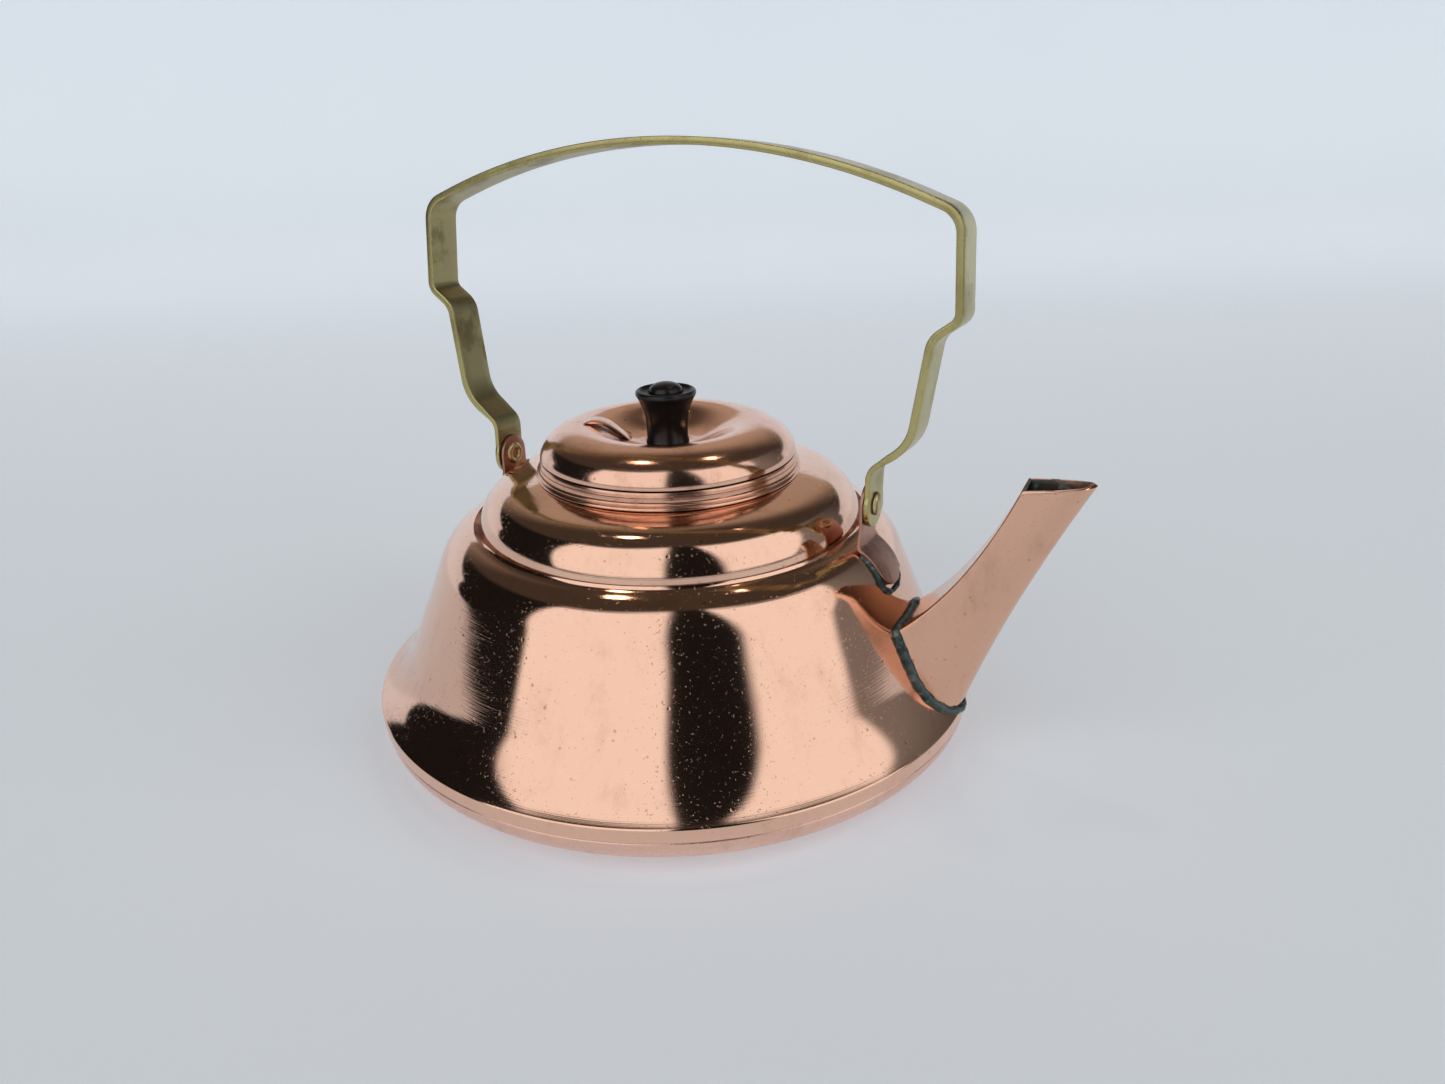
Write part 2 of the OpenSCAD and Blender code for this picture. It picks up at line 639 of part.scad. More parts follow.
knob_outline = concat(
    [[0, knob_z],
        [waist_r + foot_flare, knob_z],
        [waist_r + foot_flare, knob_z + foot_high],
        [waist_r, knob_z + foot_blend]],
    arc([waist_r + sweep_r, knob_z + waist_h], sweep_r, 180, 180 - asin(flare_h / sweep_r), 10),
    arc([knob_r - edge_round, edge_z + edge_round / 2], edge_round, 0, 80, 4),
    [[(knob_r + button_r) / 2, hollow_z + top_hollow / 2]],
    [for (i = [0:button_steps]) let (a = 90 * i / button_steps)
        [button_r * cos(a), hollow_z + (edge_z + button_h - hollow_z) * sin(a)]]);

module knob() color(phenolic) difference() {
    rotate_extrude() polygon(knob_outline);
    translate([0, 0, knob_z - bite]) cylinder(r = insert_r, h = insert_h + bite);
}

module knob_insert() color(brass) translate([0, 0, knob_z]) difference() {
    cylinder(r = insert_r, h = insert_h);
    translate([0, 0, -bite]) cylinder(r = screw_r, h = insert_h - 1 + bite);
}

washer_t = 0.8;
screw_head_r = 3.8;
screw_head_h = 2;

module knob_washer() color(steel) translate([0, 0, seat_z - lid_wall - washer_t]) difference() {
    cylinder(r = washer_r, h = washer_t);
    translate([0, 0, -bite]) cylinder(r = screw_r + 0.2, h = washer_t + 2 * bite);
}

module knob_screw() color(steel) {
    low = seat_z - lid_wall - washer_t - screw_head_h;
    translate([0, 0, low]) difference() {
        cylinder(r = screw_head_r, h = screw_head_h);
        translate([-screw_head_r, -0.5, -bite]) cube([2 * screw_head_r, 1, 0.8 + bite]);
    }
    translate([0, 0, low + screw_head_h / 2])
        cylinder(r = screw_r, h = knob_z + insert_h - 1.5 - low - screw_head_h / 2);
}

body_shell();
bottom_pan();
base_solder();
spout();
spout_solder();
lug(1);  // right_lug
lug(-1);  // left_lug
lug_solder(1);  // right_lug_solder
lug_solder(-1);  // left_lug_solder
rivet(1);  // right_rivet
rivet(-1);  // left_rivet
bail();
lid_cover();
lid_ring();
knob();
knob_insert();
knob_screw();
knob_washer();
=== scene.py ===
import math

import bmesh
import bpy
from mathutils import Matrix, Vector, noise


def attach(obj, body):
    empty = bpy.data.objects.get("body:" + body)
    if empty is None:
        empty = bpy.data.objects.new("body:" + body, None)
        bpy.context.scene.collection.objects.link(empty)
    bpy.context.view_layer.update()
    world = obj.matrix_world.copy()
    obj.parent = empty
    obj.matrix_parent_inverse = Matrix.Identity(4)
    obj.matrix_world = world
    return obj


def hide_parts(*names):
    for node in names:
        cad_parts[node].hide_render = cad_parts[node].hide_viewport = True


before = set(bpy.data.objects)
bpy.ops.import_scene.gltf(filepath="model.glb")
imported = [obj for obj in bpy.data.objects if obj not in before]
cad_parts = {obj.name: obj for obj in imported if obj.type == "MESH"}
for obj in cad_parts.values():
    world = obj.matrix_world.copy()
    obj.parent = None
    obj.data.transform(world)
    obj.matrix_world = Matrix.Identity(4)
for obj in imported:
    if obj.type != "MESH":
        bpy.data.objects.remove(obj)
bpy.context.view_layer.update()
mm = 0.001


def sinD(degrees):
    return math.sin(math.radians(degrees))


def cosD(degrees):
    return math.cos(math.radians(degrees))


def tanD(degrees):
    return math.tan(math.radians(degrees))


# camera first
cameraSizes = {
    "place": (164.8, -285.5, 193.1),          # mm
    "turn": (67.643, 1.409, 26.708),          # degrees
    "lens": 26.33, "sensor": 36,
    "shift": (0.0026, 0.0006),
}
cameraData = bpy.data.cameras.new("camera")
camera = bpy.data.objects.new("camera", cameraData)
bpy.context.scene.collection.objects.link(camera)
bpy.context.scene.camera = camera
cameraData.lens = cameraSizes["lens"]
cameraData.sensor_width = cameraSizes["sensor"]
cameraData.shift_x, cameraData.shift_y = cameraSizes["shift"]
cameraData.clip_start = 0.01
camera.location = [v * mm for v in cameraSizes["place"]]
camera.rotation_euler = [math.radians(v) for v in cameraSizes["turn"]]
bpy.context.scene.view_settings.view_transform = "Standard"
print("camera made")


# small tools for edit mode

def editMesh():
    return bmesh.from_edit_mesh(bpy.context.object.data)


def inEdit(mode="VERT"):
    bpy.ops.object.mode_set(mode="EDIT")
    bpy.ops.mesh.select_mode(type=mode)


def leaveEdit():
    bpy.ops.object.mode_set(mode="OBJECT")


def selectWhere(test):
    # selects the points for which test(place in mm) is true
    bpy.ops.mesh.select_all(action="DESELECT")
    mesh = editMesh()
    for point in mesh.verts:
        point.select = bool(test(point.co / mm))
    mesh.select_flush(True)
    bmesh.update_edit_mesh(bpy.context.object.data)


def onlyThis(piece):
    bpy.ops.object.select_all(action="DESELECT")
    bpy.context.view_layer.objects.active = piece
    piece.select_set(True)


def startPoint(name, place):
    bpy.ops.object.select_all(action="DESELECT")
    bpy.ops.mesh.primitive_plane_add(size=mm, location=(0, 0, 0))
    piece = bpy.context.object
    piece.name = name
    inEdit()
    bpy.ops.mesh.merge(type="CENTER")
    bpy.ops.transform.translate(value=[v * mm for v in place])
    return piece


def drawOn(points):
    # draws on from the selected point, points in mm
    here = points[0]
    for there in points[1:]:
        step = [(b - a) * mm for a, b in zip(here, there)]
        bpy.ops.mesh.extrude_vertices_move(TRANSFORM_OT_translate={"value": step})
        here = there


def arcOf(centre, radius, start, end, steps):
    return [(centre[0] + radius * cosD(start + (end - start) * i / steps),
             centre[1] + radius * sinD(start + (end - start) * i / steps)) for i in range(steps + 1)]


def straight(a, b, steps):
    # points after a, up to b
    return [(a[0] + (b[0] - a[0]) * i / steps, a[1] + (b[1] - a[1]) * i / steps) for i in range(1, steps + 1)]


def insideOf(outline, wall):
    # the outline moved to its left by a wall's thickness
    moved = []
    for i, (r, z) in enumerate(outline):
        r0, z0 = outline[max(i - 1, 0)]
        r1, z1 = outline[min(i + 1, len(outline) - 1)]
        run = math.hypot(r1 - r0, z1 - z0)
        moved.append((r - wall * (z1 - z0) / run, z + wall * (r1 - r0) / run))
    return moved


def smooth(piece, angle=32):
    onlyThis(piece)
    bpy.ops.object.shade_smooth_by_angle(angle=math.radians(angle))


def tidyMesh(piece, turnOut=True, gap=0.002):
    inEdit()
    bpy.ops.mesh.select_all(action="SELECT")
    bpy.ops.mesh.remove_doubles(threshold=gap * mm)
    if turnOut:
        bpy.ops.mesh.normals_make_consistent(inside=False)
    leaveEdit()


def turnProfile(name, outline, steps, closed=True, axis="Z", pivot=(0, 0, 0), angle=32):
    # spins an outline of (radius, height) about the axis through pivot
    def place(r, h):
        along, up = (r, h) if axis == "Z" else (h, r)
        return pivot[0] + along, pivot[1], pivot[2] + up
    piece = startPoint(name, place(*outline[0]))
    loop = outline + [outline[0]] if closed else outline
    drawOn([place(*p) for p in loop])
    bpy.ops.mesh.select_all(action="SELECT")
    bpy.ops.mesh.spin(steps=steps, angle=math.tau, center=[v * mm for v in pivot],
                      axis=(0, 0, 1) if axis == "Z" else (1, 0, 0))
    tidyMesh(piece)
    smooth(piece, angle)
    return piece


def addModifier(piece, kind, **settings):
    onlyThis(piece)
    made = piece.modifiers.new(kind.lower(), kind)
    for key, value in settings.items():
        setattr(made, key, value)
    bpy.ops.object.modifier_apply(modifier=made.name)


def cutWith(piece, cutter, solver="EXACT"):
    addModifier(piece, "BOOLEAN", operation="DIFFERENCE", object=cutter, solver=solver)
    bpy.data.objects.remove(cutter)


def ridesOn(piece, body, slotName, *nodes):
    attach(piece, body)
    if nodes:
        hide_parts(*nodes)
    return piece


# a piece drawn as one closed ring that is carried along a line in the plane through the axis
def sweepRing(name, ring, stations, capped=True):
    # stations: (x, z, lean from upright in degrees, stretch along x, stretch along y)
    spacing = 10
    piece = startPoint(name, (ring[0][0] * stations[0][3], ring[0][1] * stations[0][4], 0))
    first = [(x * stations[0][3], y * stations[0][4], 0) for x, y in ring]
    drawOn(first + [first[0]])
    bpy.ops.mesh.select_all(action="SELECT")
    bpy.ops.mesh.remove_doubles(threshold=1e-7)
    bpy.ops.mesh.select_all(action="SELECT")
    if capped:
        bpy.ops.mesh.edge_face_add()
    for k in range(1, len(stations)):
        stretch = [stations[k][i] / stations[k - 1][i] for i in (3, 4)]
        bpy.ops.mesh.extrude_region_move(TRANSFORM_OT_translate={"value": (0, 0, spacing * mm)})
        bpy.ops.transform.resize(value=(*stretch, 1), center_override=(0, 0, k * spacing * mm))
    leaveEdit()
    # each ring is then turned and put in its place
    floors = {}
    for point in piece.data.vertices:
        floors.setdefault(round(point.co.z / (spacing * mm)), []).append(point.index)
    inEdit()
    for k, (x, z, lean, a, b) in enumerate(stations):
        bpy.ops.mesh.select_all(action="DESELECT")
        mesh = editMesh()
        mesh.verts.ensure_lookup_table()
        for i in floors[k]:
            mesh.verts[i].select = True
        mesh.select_flush(True)
        bpy.ops.transform.rotate(value=-math.radians(lean), orient_axis="Y",
                                 center_override=(0, 0, k * spacing * mm))
        bpy.ops.transform.translate(value=(x * mm, 0, z * mm - k * spacing * mm))
    leaveEdit()
    tidyMesh(piece)
    return piece


def turnAbout(piece, axis, degrees, centre=(0, 0, 0), move=(0, 0, 0)):
    onlyThis(piece)
    inEdit()
    bpy.ops.mesh.select_all(action="SELECT")
    bpy.ops.transform.rotate(value=-math.radians(degrees), orient_axis=axis,
                             center_override=[v * mm for v in centre])
    bpy.ops.transform.translate(value=[v * mm for v in move])
    leaveEdit()


# body: one spun shell, from the band round the foot to the collar in the neck

bodySizes = {
    "rim": 100, "rimHeight": 17, "band": 4.4, "wall": 1, "edgeRound": 0.8,
    "flare": 32, "rimLean": 58, "flankLean": 22.4,
    "shoulder": 18, "shoulderEnd": 75, "shoulderHeight": 53.5,
    "grooveWidth": 1.7, "grooveDepth": 0.9,
    "tierWall": 0.2, "tierDraft": 4, "tierRound": 14, "tierSlope": 12,
    "neck": 38.6, "lip": 1.6, "collar": 5, "steps": 256,
}
b = bodySizes
flareCentre = (b["rim"] + b["flare"] * cosD(b["rimLean"]), b["rimHeight"] + b["flare"] * sinD(b["rimLean"]))
flareTop = (flareCentre[0] - b["flare"] * cosD(b["flankLean"]),
            flareCentre[1] - b["flare"] * sinD(b["flankLean"]))
shoulderZ = b["rimHeight"] + b["shoulderHeight"]
shoulderRise = b["shoulder"] * (sinD(b["shoulderEnd"]) - sinD(b["flankLean"]))
flankTop = (flareTop[0] - (shoulderZ - shoulderRise - flareTop[1]) * tanD(b["flankLean"]),
            shoulderZ - shoulderRise)
shoulderCentre = (flankTop[0] - b["shoulder"] * cosD(b["flankLean"]),
                  flankTop[1] - b["shoulder"] * sinD(b["flankLean"]))
grooveR = shoulderCentre[0] + b["shoulder"] * cosD(b["shoulderEnd"])
tierFoot = (grooveR - b["grooveWidth"], shoulderZ)
tierCentre = (tierFoot[0] - b["tierWall"] * tanD(b["tierDraft"]) - b["tierRound"] * cosD(b["tierDraft"]),
              tierFoot[1] + b["tierWall"] - b["tierRound"] * sinD(b["tierDraft"]))
tierTop = (tierCentre[0] + b["tierRound"] * sinD(b["tierSlope"]),
           tierCentre[1] + b["tierRound"] * cosD(b["tierSlope"]))
lipR = b["neck"] + b["lip"]


def tierHeight(r):
    return tierTop[1] + (tierTop[0] - r) * tanD(b["tierSlope"])


def flankRadius(z):
    if z < b["rimHeight"]:
        return b["rim"]
    if z < flareTop[1]:
        return flareCentre[0] - math.sqrt(b["flare"] ** 2 - (flareCentre[1] - z) ** 2)
    if z < flankTop[1]:
        return flareTop[0] - (z - flareTop[1]) * tanD(b["flankLean"])
    return shoulderCentre[0] + math.sqrt(max(0, b["shoulder"] ** 2 - (z - shoulderCentre[1]) ** 2))


lipZ = tierHeight(lipR) - b["lip"] / cosD(b["tierSlope"])
bandLow = b["rimHeight"] - b["band"]
edge = b["edgeRound"]
edgeCut = edge * tanD(b["rimLean"] / 2)
flareFrom = 180 + b["rimLean"] - math.degrees(edgeCut / b["flare"])
bodyOutline = (
    [(b["rim"] - 0.55, bandLow), (b["rim"] - 0.25, bandLow + 0.1), (b["rim"] - 0.12, bandLow + 0.4)]
    + straight((b["rim"] - 0.12, bandLow + 0.4), (b["rim"], b["rimHeight"] - edgeCut), 4)
    + arcOf((b["rim"] - edge, b["rimHeight"] - edgeCut), edge, 10, b["rimLean"], 5)
    + arcOf(flareCentre, b["flare"], flareFrom, 180 + b["flankLean"], 16)
    + straight(flareTop, flankTop, 9)
    + arcOf(shoulderCentre, b["shoulder"], b["flankLean"], b["shoulderEnd"] - 4, 18)[1:]
    + [(grooveR + 0.45, shoulderZ + 0.05), (grooveR - 0.1, shoulderZ - 0.35),
       (grooveR - b["grooveWidth"] / 2, shoulderZ - b["grooveDepth"]),
       (tierFoot[0] + 0.25, shoulderZ - 0.45), (tierFoot[0] + 0.02, shoulderZ)]
    + arcOf(tierCentre, b["tierRound"], b["tierDraft"], 90 - b["tierSlope"], 20)
    + straight(tierTop, (lipR + b["lip"] * sinD(b["tierSlope"]), lipZ + b["lip"] * cosD(b["tierSlope"])), 5)
    + arcOf((lipR, lipZ), b["lip"], 90 - b["tierSlope"], 180, 9)[1:]
    + [(b["neck"], lipZ - b["collar"])])
bodyInside = insideOf(bodyOutline[2:], b["wall"])
body = turnProfile("bodyShell", bodyOutline + bodyInside[::-1], b["steps"])

# the port behind the spout
spoutTurn = 2
portSizes = {"width": 15, "low": 24, "high": 42, "from": 60, "to": 104, "aside": 2.8}
bpy.ops.object.select_all(action="DESELECT")
bpy.ops.mesh.primitive_cylinder_add(vertices=48, radius=portSizes["width"] / 2 * mm,
                                    depth=(portSizes["to"] - portSizes["from"]) * mm,
                                    location=(0, 0, 0), rotation=(0, math.pi / 2, 0))
port = bpy.context.object
bpy.ops.object.transform_apply(location=True, rotation=True, scale=True)
inEdit()
selectWhere(lambda p: p.z > 0.01)
bpy.ops.transform.translate(value=(0, 0, (portSizes["high"] - portSizes["low"] - portSizes["width"]) * mm))
leaveEdit()
turnAbout(port, "Z", spoutTurn)
turnAbout(port, "Z", 0, move=((portSizes["from"] + portSizes["to"]) / 2, portSizes["aside"],
                              portSizes["low"] + portSizes["width"] / 2))
cutWith(body, port)
smooth(body)
print("body spun:", len(body.data.polygons), "faces")

# bottom pan: a shallow dish whose flange stands inside the body's band

panSizes = {"flat": 79, "edge": 99.5, "joggle": 0.6, "flange": 98.9, "flangeHeight": 3.4, "wall": 1,
            "steps": 256, "curveSteps": 20}
p = panSizes
panTop = bandLow - p["joggle"]
panOutline = (
    [(0, 0.2), (40, 0.2), (p["flat"] - 14, 0.05), (p["flat"] - 5, 0)]
    + [(p["flat"] + (p["edge"] - p["flat"]) * sinD(90 * i / p["curveSteps"]),
        panTop * (1 - cosD(90 * i / p["curveSteps"]))) for i in range(p["curveSteps"] + 1)]
    + [(p["edge"] - 0.15, panTop + 0.25), (p["flange"], panTop + 0.5),
       (p["flange"], bandLow + p["flangeHeight"])])
pan = turnProfile("bottomPan", panOutline + insideOf(panOutline, p["wall"])[::-1], p["steps"], closed=False)
smooth(pan)
print("pan spun")

# lid cover: a domed ring with a dished middle, two slits and a raised strip between them

lidSizes = {
    "wall": 0.8, "ringR": 42.8, "coverR": 41.3, "gap": 0.3, "ringHeight": 5.4,
    "crestHeight": 9.6, "crestR": 27, "dish": 6.4, "seat": 8, "hole": 2.2,
    "skirt": 38, "skirtHeight": 9, "steps": 224, "domeSteps": 24, "dishSteps": 22,
    "ventAt": 19.5, "ventTurn": 203, "ventLength": 15, "ventWidth": 6.5, "ventRise": 2.2, "slit": 1.5,
    "ventSteps": 18,
}
q = lidSizes
ringZ = tierHeight(q["ringR"]) + q["gap"]
coverZ = ringZ + q["ringHeight"]
crestZ = coverZ + q["crestHeight"]
seatZ = crestZ - q["dish"]


def dishHeight(r):
    return seatZ + q["dish"] * (0.5 - 0.5 * cosD(180 * (r - q["seat"]) / (q["crestR"] - q["seat"])))


coverOutline = (
    [(q["coverR"] - 0.35, coverZ + 0.12), (q["coverR"] - 0.08, coverZ + 0.35)]
    + [(q["crestR"] + (q["coverR"] - q["crestR"]) * cosD(90 * i / q["domeSteps"]),
        coverZ + q["crestHeight"] * sinD(90 * i / q["domeSteps"])) for i in range(2, q["domeSteps"] + 1)]
    + [(r, dishHeight(r)) for r in [q["crestR"] + (q["seat"] - q["crestR"]) * i / q["dishSteps"]
                                    for i in range(1, q["dishSteps"] + 1)]]
    + [(q["hole"], seatZ)])
cover = turnProfile("lidCover", coverOutline + insideOf(coverOutline, q["wall"])[::-1], q["steps"])
for side in (-1, 1):
    bpy.ops.object.select_all(action="DESELECT")
    slitY = side * (q["ventWidth"] + q["slit"]) / 2
    bpy.ops.mesh.primitive_cube_add(size=1, location=(q["ventAt"] * mm, slitY * mm, seatZ * mm))
    bpy.context.object.scale = ((q["ventLength"] - 1) * mm, q["slit"] * mm, 3 * q["dish"] * mm)
    bpy.ops.object.transform_apply(location=True, rotation=True, scale=True)
    slit = bpy.context.object
    addModifier(slit, "BEVEL", width=0.7 * mm, segments=4, limit_method="ANGLE")
    turnAbout(slit, "Z", q["ventTurn"])
    cutWith(cover, slit)
smooth(cover)

# the strip is a flat bar bent into a low arch that dies into the cover at both ends
ventHalf = q["ventLength"] / 2
ventRing = [(-0.5, -1), (0.32, -1), (0.5, -0.9), (0.56, -0.4), (0.56, 0.4), (0.5, 0.9), (0.32, 1), (-0.5, 1)]
ventStations = []
for i in range(q["ventSteps"] + 1):
    along = i / q["ventSteps"]
    r = q["ventAt"] - ventHalf + q["ventLength"] * along
    rise = q["ventRise"] * sinD(180 * along) ** 0.8 if 0 < along < 1 else 0
    h = dishHeight(min(r, q["crestR"])) + rise - q["wall"] * 0.6
    ventStations.append([r, h])
vent = [(r, h, 0, q["wall"], q["ventWidth"] / 2) for r, h in ventStations]
for i, (r, h, lean, thick, half) in enumerate(vent):
    (r0, h0), (r1, h1) = ventStations[max(i - 1, 0)], ventStations[min(i + 1, q["ventSteps"])]
    vent[i] = (r, h, math.degrees(math.atan2(r1 - r0, h1 - h0)), -thick, half)
strip = sweepRing("ventStrip", ventRing, vent)
turnAbout(strip, "Z", q["ventTurn"])
smooth(strip, 50)
bpy.ops.object.select_all(action="DESELECT")
strip.select_set(True)
cover.select_set(True)
bpy.context.view_layer.objects.active = cover
bpy.ops.object.join()
print("lid cover made")

# lid ring: beads and a skirt

ringOutline = (
    [(q["ringR"] - 0.45, ringZ + 0.05), (q["ringR"] - 0.1, ringZ), (q["ringR"] + 0.05, ringZ + 0.2),
     (q["ringR"], ringZ + 0.55), (q["ringR"] - 0.25, ringZ + 0.85), (q["ringR"] - 0.42, ringZ + 0.95)]
    + arcOf((q["ringR"] - 1.0, ringZ + 1.65), 0.72, -50, 72, 8)
    + [(q["ringR"] - 0.95, ringZ + 2.42)]
    + straight((q["ringR"] - 0.92, ringZ + 2.45), (q["ringR"] - 1.12, ringZ + 3.5), 3)
    + [(q["ringR"] - 1.32, ringZ + 3.6), (q["ringR"] - 1.2, ringZ + 3.72)]
    + straight((q["ringR"] - 1.2, ringZ + 3.72), (q["coverR"] + 0.06, coverZ - 0.55), 3)
    + [(q["coverR"] - 0.1, coverZ - 0.3), (q["coverR"] - 0.6, coverZ - 0.15)])
skirtInner = q["skirt"] - q["wall"]
skirtLow = ringZ - q["skirtHeight"] + b["lip"]
ringBack = [
    (skirtInner, coverZ - 0.15), (skirtInner, skirtLow + 0.3), (skirtInner + 0.2, skirtLow),
    (q["skirt"] - 0.2, skirtLow),
    (q["skirt"], skirtLow + 0.3), (q["skirt"], coverZ - 1.2), (q["skirt"] + 0.3, coverZ - 0.95),
    (q["coverR"] - 1.4, coverZ - 0.95), (q["coverR"] - 1.0, coverZ - 1.4), (q["ringR"] - 2.2, ringZ + 2.4),
    (q["ringR"] - 2.05, ringZ + 1.5), (q["ringR"] - 1.3, ringZ + 0.6)]
lidRing = turnProfile("lidRing", ringOutline + ringBack, q["steps"], angle=40)
print("lid ring spun")

# knob: waisted, with a rolled top edge and a button standing in a shallow dish

knobSizes = {"waist": 6.6, "waistHeight": 4.5, "edge": 9.7, "flare": 11, "edgeRound": 0.95, "hollow": 0.7,
             "button": 5.5, "buttonHeight": 3.8, "buttonRound": 0.85, "buttonSteps": 16, "steps": 128}
k = knobSizes
edgeZ = seatZ + k["waistHeight"] + k["flare"]
sweep = (k["flare"] ** 2 + (k["edge"] - k["waist"]) ** 2) / (2 * (k["edge"] - k["waist"]))
sweepEnd = math.degrees(math.asin(k["flare"] / sweep))
dishFloor = edgeZ + k["edgeRound"] - k["hollow"]
buttonLow = dishFloor + 0.25
buttonTop = edgeZ + k["buttonHeight"]
knobOutline = (
    [(0, seatZ), (k["waist"] + 0.1, seatZ), (k["waist"] + 0.35, seatZ + 0.2), (k["waist"] + 0.3, seatZ + 0.6),
     (k["waist"] + 0.02, seatZ + 0.95)]
    + arcOf((k["waist"] + sweep, seatZ + k["waistHeight"]), sweep, 180, 180 - sweepEnd, 18)
    + arcOf((k["edge"] - k["edgeRound"], edgeZ + 0.5), k["edgeRound"], -5, 95, 8)
    + [(k["edge"] - 1.7, dishFloor + 0.35), (k["edge"] - 2.5, dishFloor + 0.08),
       (k["button"] + 0.5, dishFloor), (k["button"] + 0.15, dishFloor + 0.12)]
    + [(k["button"] * cosD(90 * i / k["buttonSteps"]),
        buttonLow + (buttonTop - buttonLow) * sinD(90 * i / k["buttonSteps"]) ** k["buttonRound"])
       for i in range(k["buttonSteps"] + 1)])
knob = turnProfile("lidKnob", knobOutline, k["steps"], closed=False, angle=45)
print("knob turned")

# spout: folded sheet with a flat upper face, carried from inside the flank up to its mouth

spoutSizes = {
    "rootWidth": 12.3, "mouthWidth": 6.4, "reach": 13.2, "height": 75.8, "rootHeight": 29.3,
    "mouthLength": 19.4, "mouthRise": 2.1, "wall": 1.0, "taper": 0.25, "power": 5,
    "rings": 46, "startInside": -0.1, "crease": 0.8, "sideSteps": 24,
    "backBend": 0.58, "frontBend": 0.52, "frontReach": 0.38, "frontRootHeight": 2.5, "frontRootOut": 0.2,
    "cutDeep": 0.6, "cutLow": 8,
}
s = spoutSizes
backRoot = (flankRadius(b["rimHeight"] + s["rootHeight"]), b["rimHeight"] + s["rootHeight"])
backMouth = (b["rim"] + s["reach"], b["rimHeight"] + s["height"])
backKnee = (b["rim"], b["rimHeight"] + s["backBend"] * s["height"])
frontRoot = (b["rim"] + s["frontRootOut"], b["rimHeight"] + s["frontRootHeight"])
frontMouth = (backMouth[0] + s["mouthLength"], backMouth[1] + s["mouthRise"])
frontKnee = (b["rim"] + s["frontReach"] * (frontMouth[0] - b["rim"]),
             b["rimHeight"] + s["frontBend"] * s["height"])


def bezier(a, c, d, t):
    return [a[i] * (1 - t) ** 2 + 2 * c[i] * t * (1 - t) + d[i] * t * t for i in (0, 1)]


def sideAt(e):
    return (1 - s["taper"] * e) * math.sqrt(max(0, 1 - e ** s["power"]))


def spoutHalf(t):
    return s["rootWidth"] + (s["mouthWidth"] - s["rootWidth"]) * t


def spoutSkin(e, side, t):
    back, front = bezier(backRoot, backKnee, backMouth, t), bezier(frontRoot, frontKnee, frontMouth, t)
    return (back[0] + e * (front[0] - back[0]), side * spoutHalf(t), back[1] + e * (front[1] - back[1]))


creaseAlong, creaseAcross = s["crease"] / 25, s["crease"] / 9
cornerArc = [(creaseAlong * (1 - cosD(a)), 1 - creaseAcross + creaseAcross * sinD(a))
             for a in (0, 22, 45, 68, 90)]
sideRun = [creaseAlong + (1 - creaseAlong) * (1 - (1 - i / s["sideSteps"]) ** 2)
           for i in range(1, s["sideSteps"] + 1)]
oneSide = [(0, 0), (0, 0.3), (0, 0.6)] + [(e, w * sideAt(e)) for e, w in cornerArc]
oneSide += [(e, sideAt(e)) for e in sideRun]
spoutRing = oneSide + [(e, -w) for e, w in oneSide[-2:0:-1]]
spoutStations = []
for i in range(s["rings"] + 1):
    t = s["startInside"] + (1 - s["startInside"]) * i / s["rings"]
    back, front = bezier(backRoot, backKnee, backMouth, t), bezier(frontRoot, frontKnee, frontMouth, t)
    lean = math.degrees(math.atan2(back[1] - front[1], front[0] - back[0]))
    spoutStations.append((back[0], back[1], lean, math.dist(back, front), spoutHalf(t)))
spout = sweepRing("spoutSheet", spoutRing, spoutStations, capped=False)
addModifier(spout, "SOLIDIFY", thickness=s["wall"] * mm, offset=-1, use_even_offset=True)
addModifier(spout, "BEVEL", width=0.22 * mm, segments=2, limit_method="ANGLE", angle_limit=math.radians(60))
# what reaches into the body is cut away a little inside the flank's outer face
cutRim = b["rim"] - s["cutDeep"]
cutOutline = [(0, s["cutLow"]), (cutRim, s["cutLow"]), (cutRim, b["rimHeight"] - 0.3)]
for i in range(36):
    z = b["rimHeight"] + 0.2 + 1.2 * i
    cutOutline.append((flankRadius(z) - s["cutDeep"], z))
cutOutline += [(0, cutOutline[-1][1])]
inside = turnProfile("inside", cutOutline, 200, closed=False)
turnAbout(spout, "Z", spoutTurn)
cutWith(spout, inside, "MANIFOLD")
smooth(spout, 35)
print("spout made:", len(spout.data.polygons), "faces")


# solder run round the spout's root: an uneven bead

def rootPoint(e, side):
    # where the spout's skin comes out of the flank
    low, high = -0.3, 0.3
    while high - low > 1e-6:
        t = (low + high) / 2
        x, y, z = spoutSkin(e, side, t)
        if math.hypot(x, y) > flankRadius(z):
            high = t
        else:
            low = t
    return Vector(spoutSkin(e, side, low))


def evenly(points, gap, closed):
    # the same line with points every gap mm
    line = points + [points[0]] if closed else points
    out, left = [line[0]], gap
    for here, there in zip(line, line[1:]):
        run = (there - here).length
        at = left
        while at < run:
            out.append(here.lerp(there, at / run))
            at += gap
        left = at - run
    return out[:-1] if closed and (out[-1] - out[0]).length < gap / 2 else out


